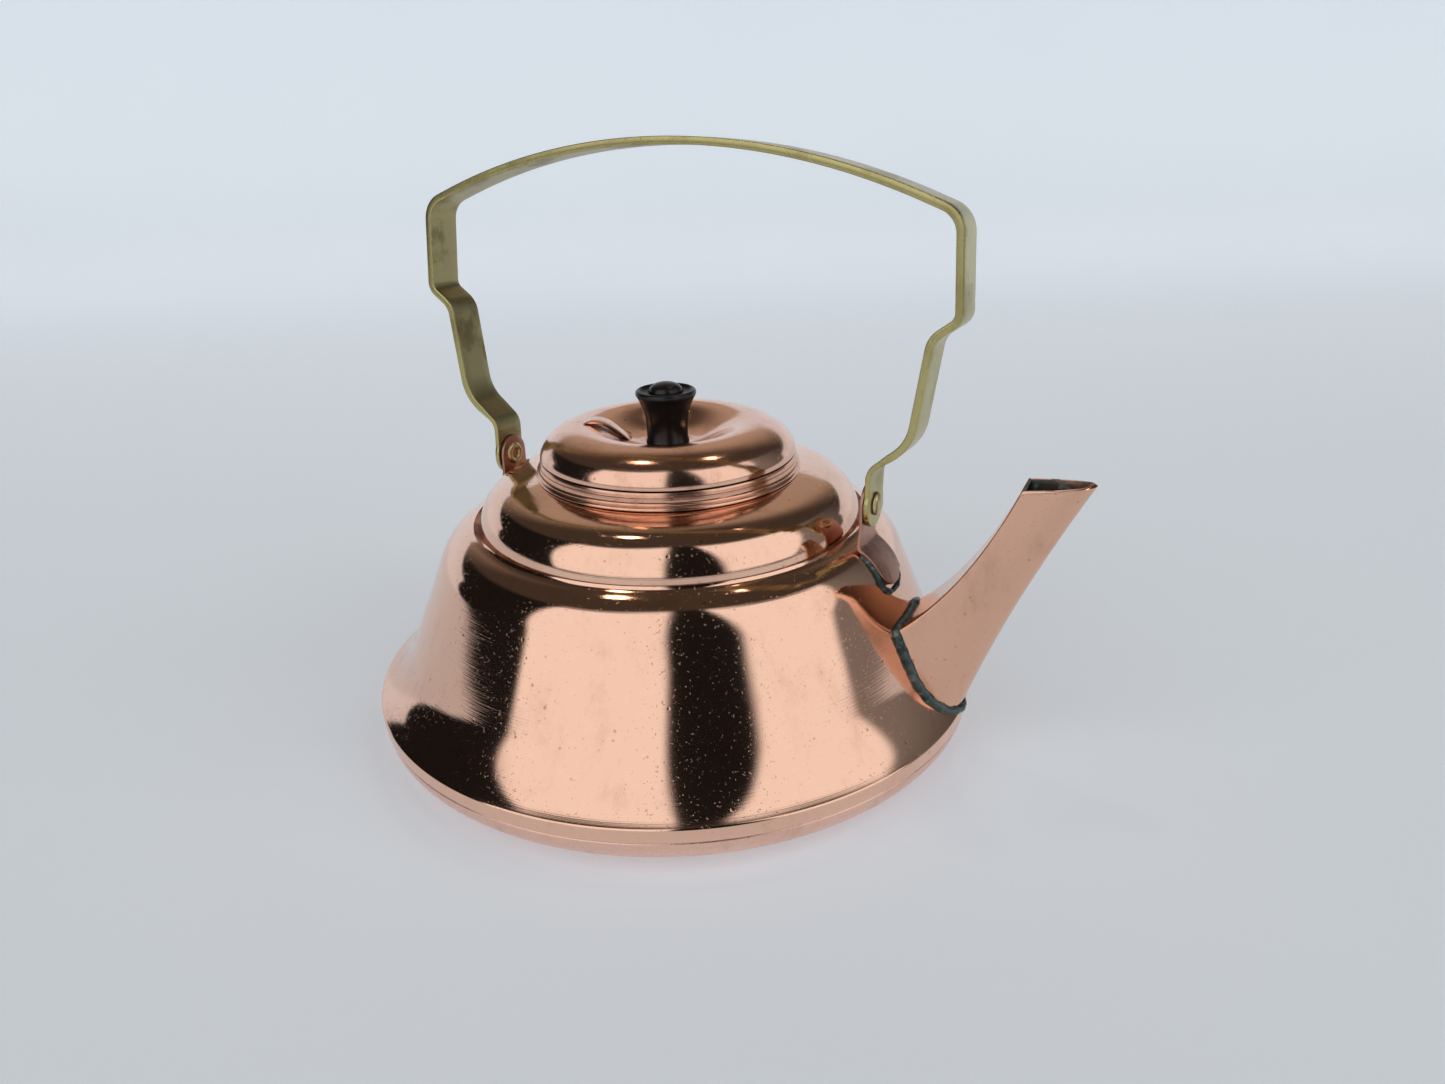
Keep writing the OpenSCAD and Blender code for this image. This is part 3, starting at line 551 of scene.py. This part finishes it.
def bead(name, points, radius, closed, uneven=0.22, seed=0):
    # a round bead along points in mm, its thickness wandering
    line = evenly(points, radius * 0.55, closed)
    curve = bpy.data.curves.new(name, "CURVE")
    curve.dimensions = "3D"
    curve.bevel_depth = radius * mm
    curve.bevel_resolution = 4
    curve.use_fill_caps = True
    path = curve.splines.new("POLY")
    path.points.add(len(line) - 1)
    for spot, point in zip(path.points, line):
        spot.co = (*(point * mm), 1)
        swell = noise.noise(point * 0.35 + Vector((seed, 0, 0))) + 0.6 * noise.noise(point * 0.9)
        spot.radius = 1 + uneven * swell
    path.use_cyclic_u = closed
    piece = bpy.data.objects.new(name, curve)
    bpy.context.scene.collection.objects.link(piece)
    onlyThis(piece)
    bpy.ops.object.convert(target="MESH")
    piece = bpy.context.object
    lumps = bpy.data.textures.new(name + "Lumps", "CLOUDS")
    lumps.noise_scale = 2.4 * mm
    addModifier(piece, "DISPLACE", texture=lumps, texture_coords="LOCAL", strength=radius * 0.4 * mm,
                mid_level=0.5)
    tidyMesh(piece)
    smooth(piece, 60)
    return piece


beadSizes = {"radius": 1.35, "out": 0.3}
rootLine = [rootPoint(e, w) for e, w in spoutRing]
lift = beadSizes["out"] * beadSizes["radius"]
for i, point in enumerate(rootLine):
    away = Vector((point.x, point.y, 0)).normalized() * cosD(b["flankLean"])
    rootLine[i] = point + lift * (away + Vector((0, 0, sinD(b["flankLean"]))))
spoutSolder = bead("spoutSolder", rootLine, beadSizes["radius"], True)
turnAbout(spoutSolder, "Z", spoutTurn)
print("spout solder laid")

# lugs: a strip that lies on the shoulder and turns up beside the bail's eye

lugSizes = {"thick": 1.0, "bed": 0.6, "half": 6.25, "footHalf": 7.5, "corner": 6.6, "footLength": 10,
            "bend": 2.0, "taper": 6, "rightMiddle": 68.3, "leftMiddle": 63.1, "pivotZ": 82.5, "solder": 0.85}
g = lugSizes
pivotZ = g["pivotZ"]


def bar(edgeX, edgeY):
    # a rounded rectangle, one wide in x and two in y, its corners cut by edgeX and edgeY
    corner = [(0.5 - edgeX * (1 - cosD(a)), 1 - edgeY * (1 - sinD(a))) for a in (0, 30, 60, 90)]
    return ([(x, y) for x, y in corner] + [(-x, y) for x, y in corner[::-1]]
            + [(-0.5, 0.5), (-0.5, 0), (-0.5, -0.5)]
            + [(-x, -y) for x, y in corner] + [(x, -y) for x, y in corner[::-1]]
            + [(0.5, -0.5), (0.5, 0), (0.5, 0.5)])


def lugLine(middle, out):
    # returns place(s) along the strip's middle, and where its foot, bend and end are
    reach = b["shoulder"] + out
    turn = math.degrees(math.acos((middle + g["bend"] - shoulderCentre[0]) / (reach + g["bend"])))
    end = middle - g["thick"] / 2 + g["footLength"]
    low = max(b["flankLean"], math.degrees(math.acos(min(1, (end - shoulderCentre[0]) / reach))))
    flat = end - shoulderCentre[0] - reach * cosD(b["flankLean"])
    down = max(0, flat) / sinD(b["flankLean"])
    arc = reach * math.radians(turn - low)
    bend = g["bend"] * math.radians(turn)
    bendX = shoulderCentre[0] + (reach + g["bend"]) * cosD(turn)
    bendZ = shoulderCentre[1] + (reach + g["bend"]) * sinD(turn)

    def place(d):
        if d < down:
            return (shoulderCentre[0] + reach * cosD(low) + (down - d) * sinD(low),
                    shoulderCentre[1] + reach * sinD(low) - (down - d) * cosD(low), -low)
        if d < down + arc:
            a = low + math.degrees((d - down) / reach)
            return shoulderCentre[0] + reach * cosD(a), shoulderCentre[1] + reach * sinD(a), -a
        if d < down + arc + bend:
            a = turn - math.degrees((d - down - arc) / g["bend"])
            return bendX - g["bend"] * cosD(a), bendZ - g["bend"] * sinD(a), -a
        return middle, bendZ + d - down - arc - bend, 0
    return place, down + arc, down + arc + bend, down + arc + bend + pivotZ - bendZ


def makeLug(name, middle, side):
    place, bendAt, bendEnd, eyeAt = lugLine(middle, g["bed"] + g["thick"] / 2)
    # steps: (distance along the strip, half width) round the foot's end, along it, round the bend and up
    steps = [(g["corner"] * (1 - cosD(a)), g["footHalf"] - g["corner"] * (1 - sinD(a)))
             for a in range(6, 91, 12)]
    steps += [(g["corner"] + (bendAt - g["corner"]) * i / 8, g["footHalf"]) for i in range(1, 9)]
    wider = g["footHalf"] - g["half"]
    steps += [(bendAt + (bendEnd - bendAt) * i / 8, g["footHalf"] - wider * i / 24) for i in range(1, 9)]
    narrow = g["footHalf"] - wider / 3
    run = min(g["taper"], eyeAt - bendEnd - 1)
    steps += [(bendEnd + run * i / 6, narrow + (g["half"] - narrow) * (0.5 - 0.5 * cosD(30 * i)))
              for i in range(1, 7)]
    steps += [(eyeAt + g["half"] * sinD(a), g["half"] * cosD(a))
              for a in (0, 12, 24, 36, 48, 58, 67, 75, 82, 87)]
    stations = [(*place(d), g["thick"], half) for d, half in steps]
    lug = sweepRing(name, bar(0.16, 0.03), stations)
    # the foot hugs the round of the shoulder
    for point in lug.data.vertices:
        x, y, z = point.co / mm
        hug = max(0, min(1, (shoulderZ + 4 - z) / 6))
        point.co.x -= hug * (x - math.sqrt(x * x - y * y)) * mm
    if side < 0:
        turnAbout(lug, "Z", 180)
    smooth(lug, 40)
    ground = lugLine(middle, 0.25)[0]
    edge = [(bendAt * (1 - i / 10), g["footHalf"] + 0.2) for i in range(8)]
    edge += [(g["corner"] * (1 - cosD(a)) - 0.2, g["footHalf"] - g["corner"] * (1 - sinD(a)) + 0.2)
             for a in range(84, -1, -12)]
    line = []
    for sign in (1, -1):
        for d, half in (edge if sign > 0 else edge[::-1]):
            x, z, lean = ground(max(d, 0))
            line.append(Vector((math.sqrt(x * x - half * half) * side, sign * half, z)))
    joint = bead(name + "Solder", line, g["solder"], True, 0.45, side)
    return lug, joint


rightLug, rightLugSolder = makeLug("rightLug", g["rightMiddle"], 1)
leftLug, leftLugSolder = makeLug("leftLug", g["leftMiddle"], -1)
print("lugs bent")

# rivets: a domed head outside the strip and a rolled hollow end inside the lug

rivetSizes = {"shank": 2.0, "head": 3.6, "headHeight": 1.7, "rolled": 3.8, "rolledHeight": 0.95,
              "hollow": 1.65, "hollowDepth": 2.6, "play": 0.15, "eyeRight": 70.8, "eyeLeft": 65.6, "steps": 72}
v = rivetSizes


def makeRivet(name, eyeFace, lugFace, side):
    outer, inner = eyeFace + v["play"], lugFace - v["rolledHeight"]
    rollMiddle, rollHalf = (v["rolled"] + v["hollow"]) / 2, (v["rolled"] - v["hollow"]) / 2
    hollowEnd = inner + v["hollowDepth"]
    outline = [(0, hollowEnd), (v["hollow"], hollowEnd - 0.3), (v["hollow"], lugFace)]
    outline += [(rollMiddle - rollHalf * cosD(a), lugFace - v["rolledHeight"] * sinD(a))
                for a in range(15, 180, 15)]
    outline += [(v["rolled"], lugFace), (v["shank"], lugFace), (v["shank"], outer),
                (v["head"] - 0.25, outer), (v["head"] - 0.03, outer + 0.12)]
    outline += [(v["head"] * cosD(a), outer + 0.2 + (v["headHeight"] - 0.2) * sinD(a) ** 0.9)
                for a in range(8, 89, 8)]
    outline += [(0, outer + v["headHeight"])]
    return turnProfile(name, [(r, h * side) for r, h in outline], v["steps"], closed=False, axis="X",
                       pivot=(0, 0, pivotZ), angle=40)


rightRivet = makeRivet("rightRivet", v["eyeRight"], g["rightMiddle"] - g["thick"] / 2, 1)
leftRivet = makeRivet("leftRivet", v["eyeLeft"], g["leftMiddle"] - g["thick"] / 2, -1)
print("rivets turned")

# bail: one brass strip, thinned at its round eyes, bent five times on each side

bailSizes = {
    "width": 13, "thick": 2.3, "eye": 7.1, "eyeThick": 1.6, "set": 2.6, "lean": 3,
    "archRise": 19.5, "edgeX": 0.14, "edgeY": 0.05, "archSteps": 30,
    "corners": [(68.2, 0, 0), (68.2, 11.2, 6), (80.1, 18.8, 14), (84.4, 49.9, 7), (92, 55.4, 4), (90.3, 84, 8)],
}
h = bailSizes
archHalf, archFrom = h["corners"][-1][:2]
archR = (archHalf ** 2 + h["archRise"] ** 2) / (2 * h["archRise"])
archHeight = archFrom + h["archRise"] - archR
archAngle = math.degrees(math.asin(archHalf / archR))


def bailLine():
    # (place, direction) along the middle of a full-thickness strip, right half
    corners = [Vector(c[:2]) for c in h["corners"]]
    ways = [(corners[i + 1] - corners[i]).normalized() for i in range(5)]
    ways.append(Vector((-cosD(archAngle), sinD(archAngle))))
    line = []
    for i in range(1, 6):
        a, c = ways[i - 1], ways[i]
        leftA, leftC = Vector((-a.y, a.x)), Vector((-c.y, c.x))
        corner = corners[i] + h["thick"] / 2 * (leftA + leftC) / (1 + leftA.dot(leftC))
        side = 1 if a.x * c.y > a.y * c.x else -1
        angle, radius = math.degrees(a.angle(c)), h["corners"][i][2]
        middle = corner - radius * tanD(angle / 2) * a + side * radius * leftA
        start = -side * leftA
        for j in range(9):
            turned = side * angle * j / 8
            o = Vector((start.x * cosD(turned) - start.y * sinD(turned),
                        start.x * sinD(turned) + start.y * cosD(turned)))
            line.append((middle + radius * o, Vector((-o.y, o.x)) * side, i))
    inner = archAngle - math.degrees(h["corners"][5][2] / archR)
    for j in range(1, h["archSteps"] + 1):
        a = 90 - inner + inner * j / h["archSteps"]
        o = Vector((cosD(a), sinD(a)))
        line.append((Vector((0, archHeight)) + (archR - h["thick"] / 2) * o, Vector((-o.y, o.x)), 6))
    return line


bailHalf = []
eyeFace = h["corners"][0][0]
for a in (-86, -80, -72, -62, -50, -38, -24, -10, 4, 16, 24):
    bailHalf.append((eyeFace - h["eyeThick"] / 2, h["eye"] * sinD(a), 0, h["eyeThick"], h["eye"] * cosD(a)))
bailHalf.append((eyeFace - h["eyeThick"] / 2, 4.6, 0, h["eyeThick"], h["width"] / 2))
swell = 0
before = None
for point, way, corner in bailLine():
    swell += 0 if corner == 1 or before is None else (point - before).length
    before = point
    thick = h["eyeThick"] + (h["thick"] - h["eyeThick"]) * min(1, swell / 4)
    inward = Vector((-way.y, way.x))
    middle = point - (h["thick"] - thick) / 2 * inward
    bailHalf.append((middle.x, middle.y, math.degrees(math.atan2(way.x, way.y)), thick, h["width"] / 2))
bailStations = bailHalf + [(-x, z, -180 - lean, thick, half) for x, z, lean, thick, half in bailHalf[-2::-1]]
bail = sweepRing("bailStrip", bar(h["edgeX"], h["edgeY"]), bailStations)
turnAbout(bail, "X", -h["lean"], move=(h["set"], 0, pivotZ))
smooth(bail, 40)
print("bail bent:", len(bail.data.polygons), "faces")

# what each piece rides on and stands for
ridesOn(body, "vessel", "spun_copper", "body_shell")
ridesOn(pan, "vessel", "spun_copper", "bottom_pan")
ridesOn(spout, "vessel", "spun_copper", "spout")
ridesOn(spoutSolder, "vessel", "soft_solder", "spout_solder")
ridesOn(rightLug, "vessel", "worn_copper", "right_lug")
ridesOn(leftLug, "vessel", "worn_copper", "left_lug")
ridesOn(rightLugSolder, "vessel", "soft_solder", "right_lug_solder")
ridesOn(leftLugSolder, "vessel", "soft_solder", "left_lug_solder")
ridesOn(rightRivet, "vessel", "strip_brass", "right_rivet")
ridesOn(leftRivet, "vessel", "strip_brass", "left_rivet")
ridesOn(bail, "bail_handle", "strip_brass", "bail")
ridesOn(cover, "lid", "spun_copper", "lid_cover")
ridesOn(lidRing, "lid", "spun_copper", "lid_ring")
ridesOn(knob, "lid", "phenolic", "knob")
print("pieces ride on their bodies")


# finishes

class Wire:
    # one output of a shader node; sums and products add Math nodes

    def __init__(self, tree, socket=None):
        self.tree = tree
        self.socket = socket

    def node(self, kind, settings=None, given=None, out=0):
        made = self.tree.nodes.new("ShaderNode" + kind)
        for key, value in (settings or {}).items():
            setattr(made, key, value)
        for key, value in (given or {}).items():
            if isinstance(value, Wire):
                self.tree.links.new(value.socket, made.inputs[key])
            elif value is not None:
                made.inputs[key].default_value = value
        return Wire(self.tree, made.outputs[out])

    def math(self, how, *values):
        return self.node("Math", {"operation": how}, dict(enumerate(values)))

    def __add__(self, other):
        return self.math("ADD", self, other)

    def __sub__(self, other):
        return self.math("SUBTRACT", self, other)

    def __rsub__(self, other):
        return self.math("SUBTRACT", other, self)

    def __mul__(self, other):
        return self.math("MULTIPLY", self, other)

    __radd__ = __add__
    __rmul__ = __mul__

    def power(self, other):
        return self.math("POWER", self, other)

    def rises(self, low, high):
        # 0 below low, 1 above high, eased between
        return self.node("MapRange", {"interpolation_type": "SMOOTHSTEP"},
                         {"Value": self, "From Min": low, "From Max": high})

    def blend(self, first, second):
        # this value mixes two colours
        return self.node("Mix", {"data_type": "RGBA"}, {0: self, 6: first, 7: second}, 2)

    def noise(self, scale, detail=2, rough=0.5, stretch=None):
        place = self
        if stretch:
            place = self.node("VectorMath", {"operation": "MULTIPLY"}, {0: self, 1: stretch})
        return self.node("TexNoise", None,
                         {"Vector": place, "Scale": scale, "Detail": detail, "Roughness": rough})

    def split(self):
        parts = self.node("SeparateXYZ", None, {0: self})
        return [Wire(self.tree, parts.socket.node.outputs[i]) for i in (0, 1, 2)]

    def joined(self, y, z):
        return self.node("CombineXYZ", None, {0: self, 1: y, 2: z})


def newMaterial(name):
    # gives the material, its shader and the place on the piece in mm
    made = bpy.data.materials.new(name)
    made.use_nodes = True
    tree = made.node_tree
    shader = next(n for n in tree.nodes if n.type == "BSDF_PRINCIPLED")
    place = Wire(tree).node("TexCoord", None, None, "Object")
    place = place.node("VectorMath", {"operation": "SCALE"}, {0: place, "Scale": 1 / mm})
    return made, shader, place


def finish(shader, **wires):
    # each value goes to the shader's socket of that name, or onto it as a constant
    for key, value in wires.items():
        socket = shader.inputs[{"colour": "Base Color", "coat": "Coat Weight"}.get(key, key.capitalize())]
        if isinstance(value, Wire):
            value.tree.links.new(value.socket, socket)
        else:
            socket.default_value = value


def bump(place, height, depth, under=None):
    # height runs over depth mm
    return place.node("Bump", None,
                      {"Strength": 1, "Distance": depth * mm, "Height": height, "Normal": under})


def copperFinish(name, light, dark, rough, wave=0.2, lines=0.012, grime=0.5, pits=1.0):
    made, shader, place = newMaterial(name)
    x, y, z = place.split()
    radius = (x * x + y * y).power(0.5)
    cloud = place.noise(0.035, 4, 0.6)
    smear = place.noise(0.11, 5, 0.65, (1, 1, 0.45))
    specks = 1 - place.noise(1.1, 2, 0.6).rises(0.27, 0.36)
    spots = place.node("TexVoronoi", {"feature": "F1"},
                       {"Vector": place, "Scale": 0.16, "Randomness": 1})
    spots = (1 - spots.rises(0.05, 0.11)) * pits
    spun = radius.joined(z, 0).noise(2.6, 3, 0.6)
    mask = smear.rises(0.42, 0.75) * grime + specks * 0.35 * pits + spots * 0.6
    colour = mask.rises(0, 1).blend((*light, 1), (*dark, 1))
    finish(shader, colour=colour, metallic=1.0,
           roughness=(rough + smear.rises(0.35, 0.8) * 0.07 * grime + specks * 0.1 + (spun - 0.5) * 0.03
                      + cloud * 0.02))
    waves = bump(place, place.noise(0.024, 1, 0.4), wave * 4)
    fine = bump(place, spun, lines, waves)
    dents = bump(place, 1 - specks * 0.6 * pits - spots * 0.8, 0.02, fine)
    finish(shader, normal=dents)
    return made


polished = copperFinish("polishedCopper", (0.92, 0.57, 0.42), (0.60, 0.30, 0.19), 0.06, grime=0.35)
lidCopper = copperFinish("polishedLidCopper", (0.90, 0.54, 0.40), (0.55, 0.27, 0.18), 0.11, 0.15, 0.015)
spoutCopper = copperFinish("spoutCopper", (0.82, 0.48, 0.34), (0.60, 0.32, 0.22), 0.13, 0.12, 0.004, 0.45)
ringCopper = copperFinish("ringCopper", (0.86, 0.48, 0.34), (0.48, 0.21, 0.13), 0.18, 0.05, 0.015, 0.6)
lugCopper = copperFinish("lugCopper", (0.52, 0.29, 0.22), (0.26, 0.13, 0.10), 0.36, 0.06, 0.004, 1.0)
panCopper = copperFinish("panCopper", (0.88, 0.57, 0.45), (0.62, 0.34, 0.25), 0.26, 0.05, 0.02, 0.5)


def insideFinish(name, metal, stain):
    # sheet that is never polished: stained, with patches of verdigris
    made, shader, place = newMaterial(name)
    patch = place.noise(0.09, 5, 0.65).rises(0.42, 0.62)
    green = place.noise(0.3, 4, 0.6).rises(0.55, 0.72)
    colour = patch.blend((*metal, 1), (*stain, 1))
    colour = (green * 0.8).blend(colour, (0.20, 0.33, 0.29, 1))
    finish(shader, colour=colour, metallic=1 - green * 0.8, roughness=0.38 + patch * 0.2 + green * 0.2,
           normal=bump(place, patch * 0.3 + green, 0.06))
    return made


bodyInsideFinish = insideFinish("unpolishedCopper", (0.62, 0.36, 0.26), (0.30, 0.15, 0.10))
spoutInsideFinish = insideFinish("spoutLining", (0.42, 0.24, 0.19), (0.16, 0.17, 0.15))


def brassFinish(name, light, dark, rough, stain):
    made, shader, place = newMaterial(name)
    grain = place.noise(0.5, 3, 0.6, (1, 6, 0.3))
    patch = place.noise(0.06, 5, 0.65).rises(0.45, 0.68) * stain
    marks = place.noise(0.8, 3, 0.7, (1.6, 0.2, 0.5)).rises(0.62, 0.7)
    mask = patch + marks * 0.3 + grain * 0.15
    finish(shader, colour=mask.rises(0, 1.1).blend((*light, 1), (*dark, 1)), metallic=1.0,
           roughness=rough + patch * 0.12 + grain * 0.1,
           normal=bump(place, grain * 0.4 - marks * 0.6, 0.03, bump(place, place.noise(0.03, 1), 0.35)))
    return made


stripBrass = brassFinish("stripBrass", (0.52, 0.45, 0.20), (0.30, 0.24, 0.09), 0.20, 0.5)
# darker copy of the strip brass for the bail's inward faces: its darker colours are painted shade, its patches
# are real stains
shadedBailBrass = brassFinish("paintedShadeBrass", (0.42, 0.36, 0.18), (0.20, 0.15, 0.07), 0.30, 0.8)
rivetBrass = brassFinish("rivetBrass", (0.62, 0.53, 0.30), (0.30, 0.22, 0.10), 0.28, 0.7)


def solderFinish():
    made, shader, place = newMaterial("softSolder")
    white = place.noise(0.35, 5, 0.7).rises(0.52, 0.68)
    deep = place.noise(0.14, 3, 0.6).rises(0.35, 0.6)
    colour = deep.blend((0.025, 0.05, 0.055, 1), (0.09, 0.125, 0.125, 1))
    finish(shader, colour=(white * 0.6).blend(colour, (0.40, 0.43, 0.40, 1)), metallic=0.75 - white * 0.4,
           roughness=0.36 + white * 0.25, normal=bump(place, place.noise(0.7, 4, 0.6), 0.25))
    return made


def knobFinish():
    made, shader, place = newMaterial("blackPhenolic")
    dust = place.noise(1.4, 5, 0.75).rises(0.60, 0.78)
    wear = place.noise(0.16, 3, 0.6)
    finish(shader, colour=(dust * 0.12).blend((0.004, 0.004, 0.006, 1), (0.10, 0.10, 0.11, 1)), metallic=0.0,
           roughness=0.24 + wear * 0.14 + dust * 0.15, coat=0.0,
           normal=bump(place, place.noise(0.12, 2), 0.12))
    return made


def steelFinish():
    made, shader, place = newMaterial("turnedSteel")
    x, y, z = place.split()
    rings = (x * x + y * y).power(0.5).joined(z, 0).noise(3.5, 2)
    dull = place.noise(0.3, 4).rises(0.4, 0.7)
    finish(shader, colour=dull.blend((0.62, 0.63, 0.64, 1), (0.40, 0.39, 0.37, 1)), metallic=1.0,
           roughness=0.24 + dull * 0.15, normal=bump(place, rings, 0.02))
    return made


solder = solderFinish()
for piece, finishes in (
        (body, (polished, bodyInsideFinish)), (pan, (panCopper, bodyInsideFinish)),
        (spout, (spoutCopper, spoutInsideFinish)), (cover, (lidCopper, bodyInsideFinish)),
        (lidRing, (ringCopper, bodyInsideFinish)), (rightLug, (lugCopper,)), (leftLug, (lugCopper,)),
        (spoutSolder, (solder,)), (rightLugSolder, (solder,)), (leftLugSolder, (solder,)),
        (rightRivet, (rivetBrass,)), (leftRivet, (rivetBrass,)), (bail, (stripBrass, shadedBailBrass)),
        (knob, (knobFinish(),))):
    piece.data.materials.clear()
    for one in finishes:
        piece.data.materials.append(one)
steel = steelFinish()
for node, one in (("base_solder", solder), ("knob_insert", rivetBrass),
                  ("knob_screw", steel), ("knob_washer", steel)):
    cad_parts[node].data.materials.clear()
    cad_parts[node].data.materials.append(one)


def paintInside(piece, facesIn):
    # the second finish goes on the faces for which facesIn(middle in mm, normal) is true
    for face in piece.data.polygons:
        face.material_index = int(facesIn(face.center / mm, face.normal))


paintInside(body, lambda m, n: n.dot(m - Vector((0, 0, 30))) < 0)
paintInside(pan, lambda m, n: n.dot(m - Vector((0, 0, 30))) < 0)
paintInside(cover, lambda m, n: n.z < -0.05 or m.x * n.x + m.y * n.y < 0 and m.z < coverZ + 1)
paintInside(lidRing, lambda m, n: m.xy.length < q["skirt"] + 0.1 or n.z < -0.5 and m.z > ringZ + 0.3)


def unturned(v):
    # a point or direction as it was before the spout was turned
    cos, sin = cosD(spoutTurn), sinD(spoutTurn)
    return Vector((v.x * cos + v.y * sin, v.y * cos - v.x * sin, v.z))


def spoutMiddle(i):
    back = bezier(backRoot, backKnee, backMouth, i / 20)
    front = bezier(frontRoot, frontKnee, frontMouth, i / 20)
    return Vector((0.5 * (back[0] + front[0]), 0, 0.5 * (back[1] + front[1])))


spoutMiddles = [spoutMiddle(i) for i in range(21)]


def insideSpout(m, n):
    # the lining's normals point at the spout's own middle line
    here = unturned(m)
    middle = min(spoutMiddles, key=lambda spot: (spot.xz - here.xz).length)
    return unturned(n).dot(here - middle) < 0


paintInside(spout, insideSpout)


def insideBail(m, n):
    # the faces that look in at the lid, and not the strip's edges; they take the darker brass, which is painted
    # shade
    archUp = max(0, m.z - pivotZ - 60)
    return abs(n.y) < 0.4 and n.dot(Vector((m.x - h["set"], 0, archUp))) < 0


paintInside(bail, insideBail)
print("finishes made")

# studio: a pale sweep, and light from broad panels set by direction round the kettle

stageSizes = {"half": 2.2, "back": 0.95, "rise": 0.35, "wall": 0.25, "steps": 12}   # metres
w = stageSizes
bpy.ops.object.select_all(action="DESELECT")
bpy.ops.mesh.primitive_plane_add(size=2 * w["half"], location=(0, w["back"] - w["half"], 0))
sweepFloor = bpy.context.object
sweepFloor.name = "studioSweep"
bpy.ops.object.transform_apply(location=True, rotation=True, scale=True)
inEdit("EDGE")
selectWhere(lambda point: point.y > (w["back"] - 0.001) / mm)
for i in range(w["steps"]):
    a, c = 90 * i / w["steps"], 90 * (i + 1) / w["steps"]
    bpy.ops.mesh.extrude_edges_move(TRANSFORM_OT_translate={"value": (
        0, w["rise"] * (sinD(c) - sinD(a)), w["rise"] * (cosD(a) - cosD(c)))})
bpy.ops.mesh.extrude_edges_move(TRANSFORM_OT_translate={"value": (0, 0, w["wall"])})
bpy.ops.mesh.select_all(action="SELECT")
bpy.ops.transform.rotate(value=-math.radians(30), orient_axis="Z", center_override=(0, 0, 0))
leaveEdit()
smooth(sweepFloor, 60)
paper, paperShader, paperPlace = newMaterial("studioPaper")
shade = paperPlace.noise(0.004, 2)
finish(paperShader, colour=shade.blend((0.76, 0.79, 0.83, 1), (0.80, 0.83, 0.86, 1)), roughness=0.55)
paperShader.inputs["Emission Color"].default_value = (0.88, 0.98, 1.10, 1)
paperShader.inputs["Emission Strength"].default_value = 0.25
sweepFloor.data.materials.append(paper)

world = bpy.data.worlds.new("studio")
bpy.context.scene.world = world
world.use_nodes = True
sky = world.node_tree
sky.nodes.clear()
view = Wire(sky).node("TexCoord", None, None, "Generated")
dx, dy, dz = view.split()
toFront = dx * 0.5 - dy * 0.866
toRight = dx * 0.866 + dy * 0.5
around = toRight.math("ARCTAN2", toRight, toFront) * (180 / math.pi)
upward = dz.math("ARCSINE", dz) * (180 / math.pi)
roof = 74 - around * around * 0.0028
leftEdge = -69 - upward * 0.3
rightEdge = 71 + upward * 0.62
below = 1 - (upward - roof).rises(-3, 3)
leftPanel = (around - leftEdge).rises(-2, 2) * (1 - around.rises(-7, -3))
rightPanel = around.rises(27, 33) * (1 - (around - rightEdge).rises(-3, 3))
panels = (leftPanel + rightPanel) * below * upward.rises(-1, 4)
rightSide = (around - rightEdge).rises(-2, 3) * (1 - around.rises(85, 150)) * below
behind = around.math("ABSOLUTE", around).rises(132, 172) * (1 - upward.rises(35, 60))
lampSpots = None
for lampAround, lampUp in ((-145, 71), (140, 66)):
    aimX = (0.5 * cosD(lampAround) + 0.866 * sinD(lampAround)) * cosD(lampUp)
    aimY = (0.5 * sinD(lampAround) - 0.866 * cosD(lampAround)) * cosD(lampUp)
    near = view.node("VectorMath", {"operation": "DOT_PRODUCT"},
                     {0: view, 1: (aimX, aimY, sinD(lampUp))}, "Value")
    spot = near.rises(cosD(3), cosD(1.8))
    lampSpots = spot if lampSpots is None else lampSpots + spot
over = (upward - roof).rises(-2, 4)
light = panels * 1.0 + rightSide * 0.2 + behind * 0.37 + over * 0.045 + 0.010
tint = (lampSpots + over * 0.7).rises(0, 1).blend((0.97, 0.99, 1.0, 1), (1.0, 0.80, 0.60, 1))
# the camera itself sees plain paper behind the sweep
seen = Wire(sky).node("LightPath")
tint = seen.blend(tint, (0.66, 0.72, 0.79, 1))
light = seen + (1 - seen) * (light + lampSpots * 14)
glow = sky.nodes.new("ShaderNodeBackground")
sky.links.new(tint.socket, glow.inputs["Color"])
sky.links.new(light.socket, glow.inputs["Strength"])
skyOut = sky.nodes.new("ShaderNodeOutputWorld")
sky.links.new(glow.outputs[0], skyOut.inputs[0])
print("studio set")
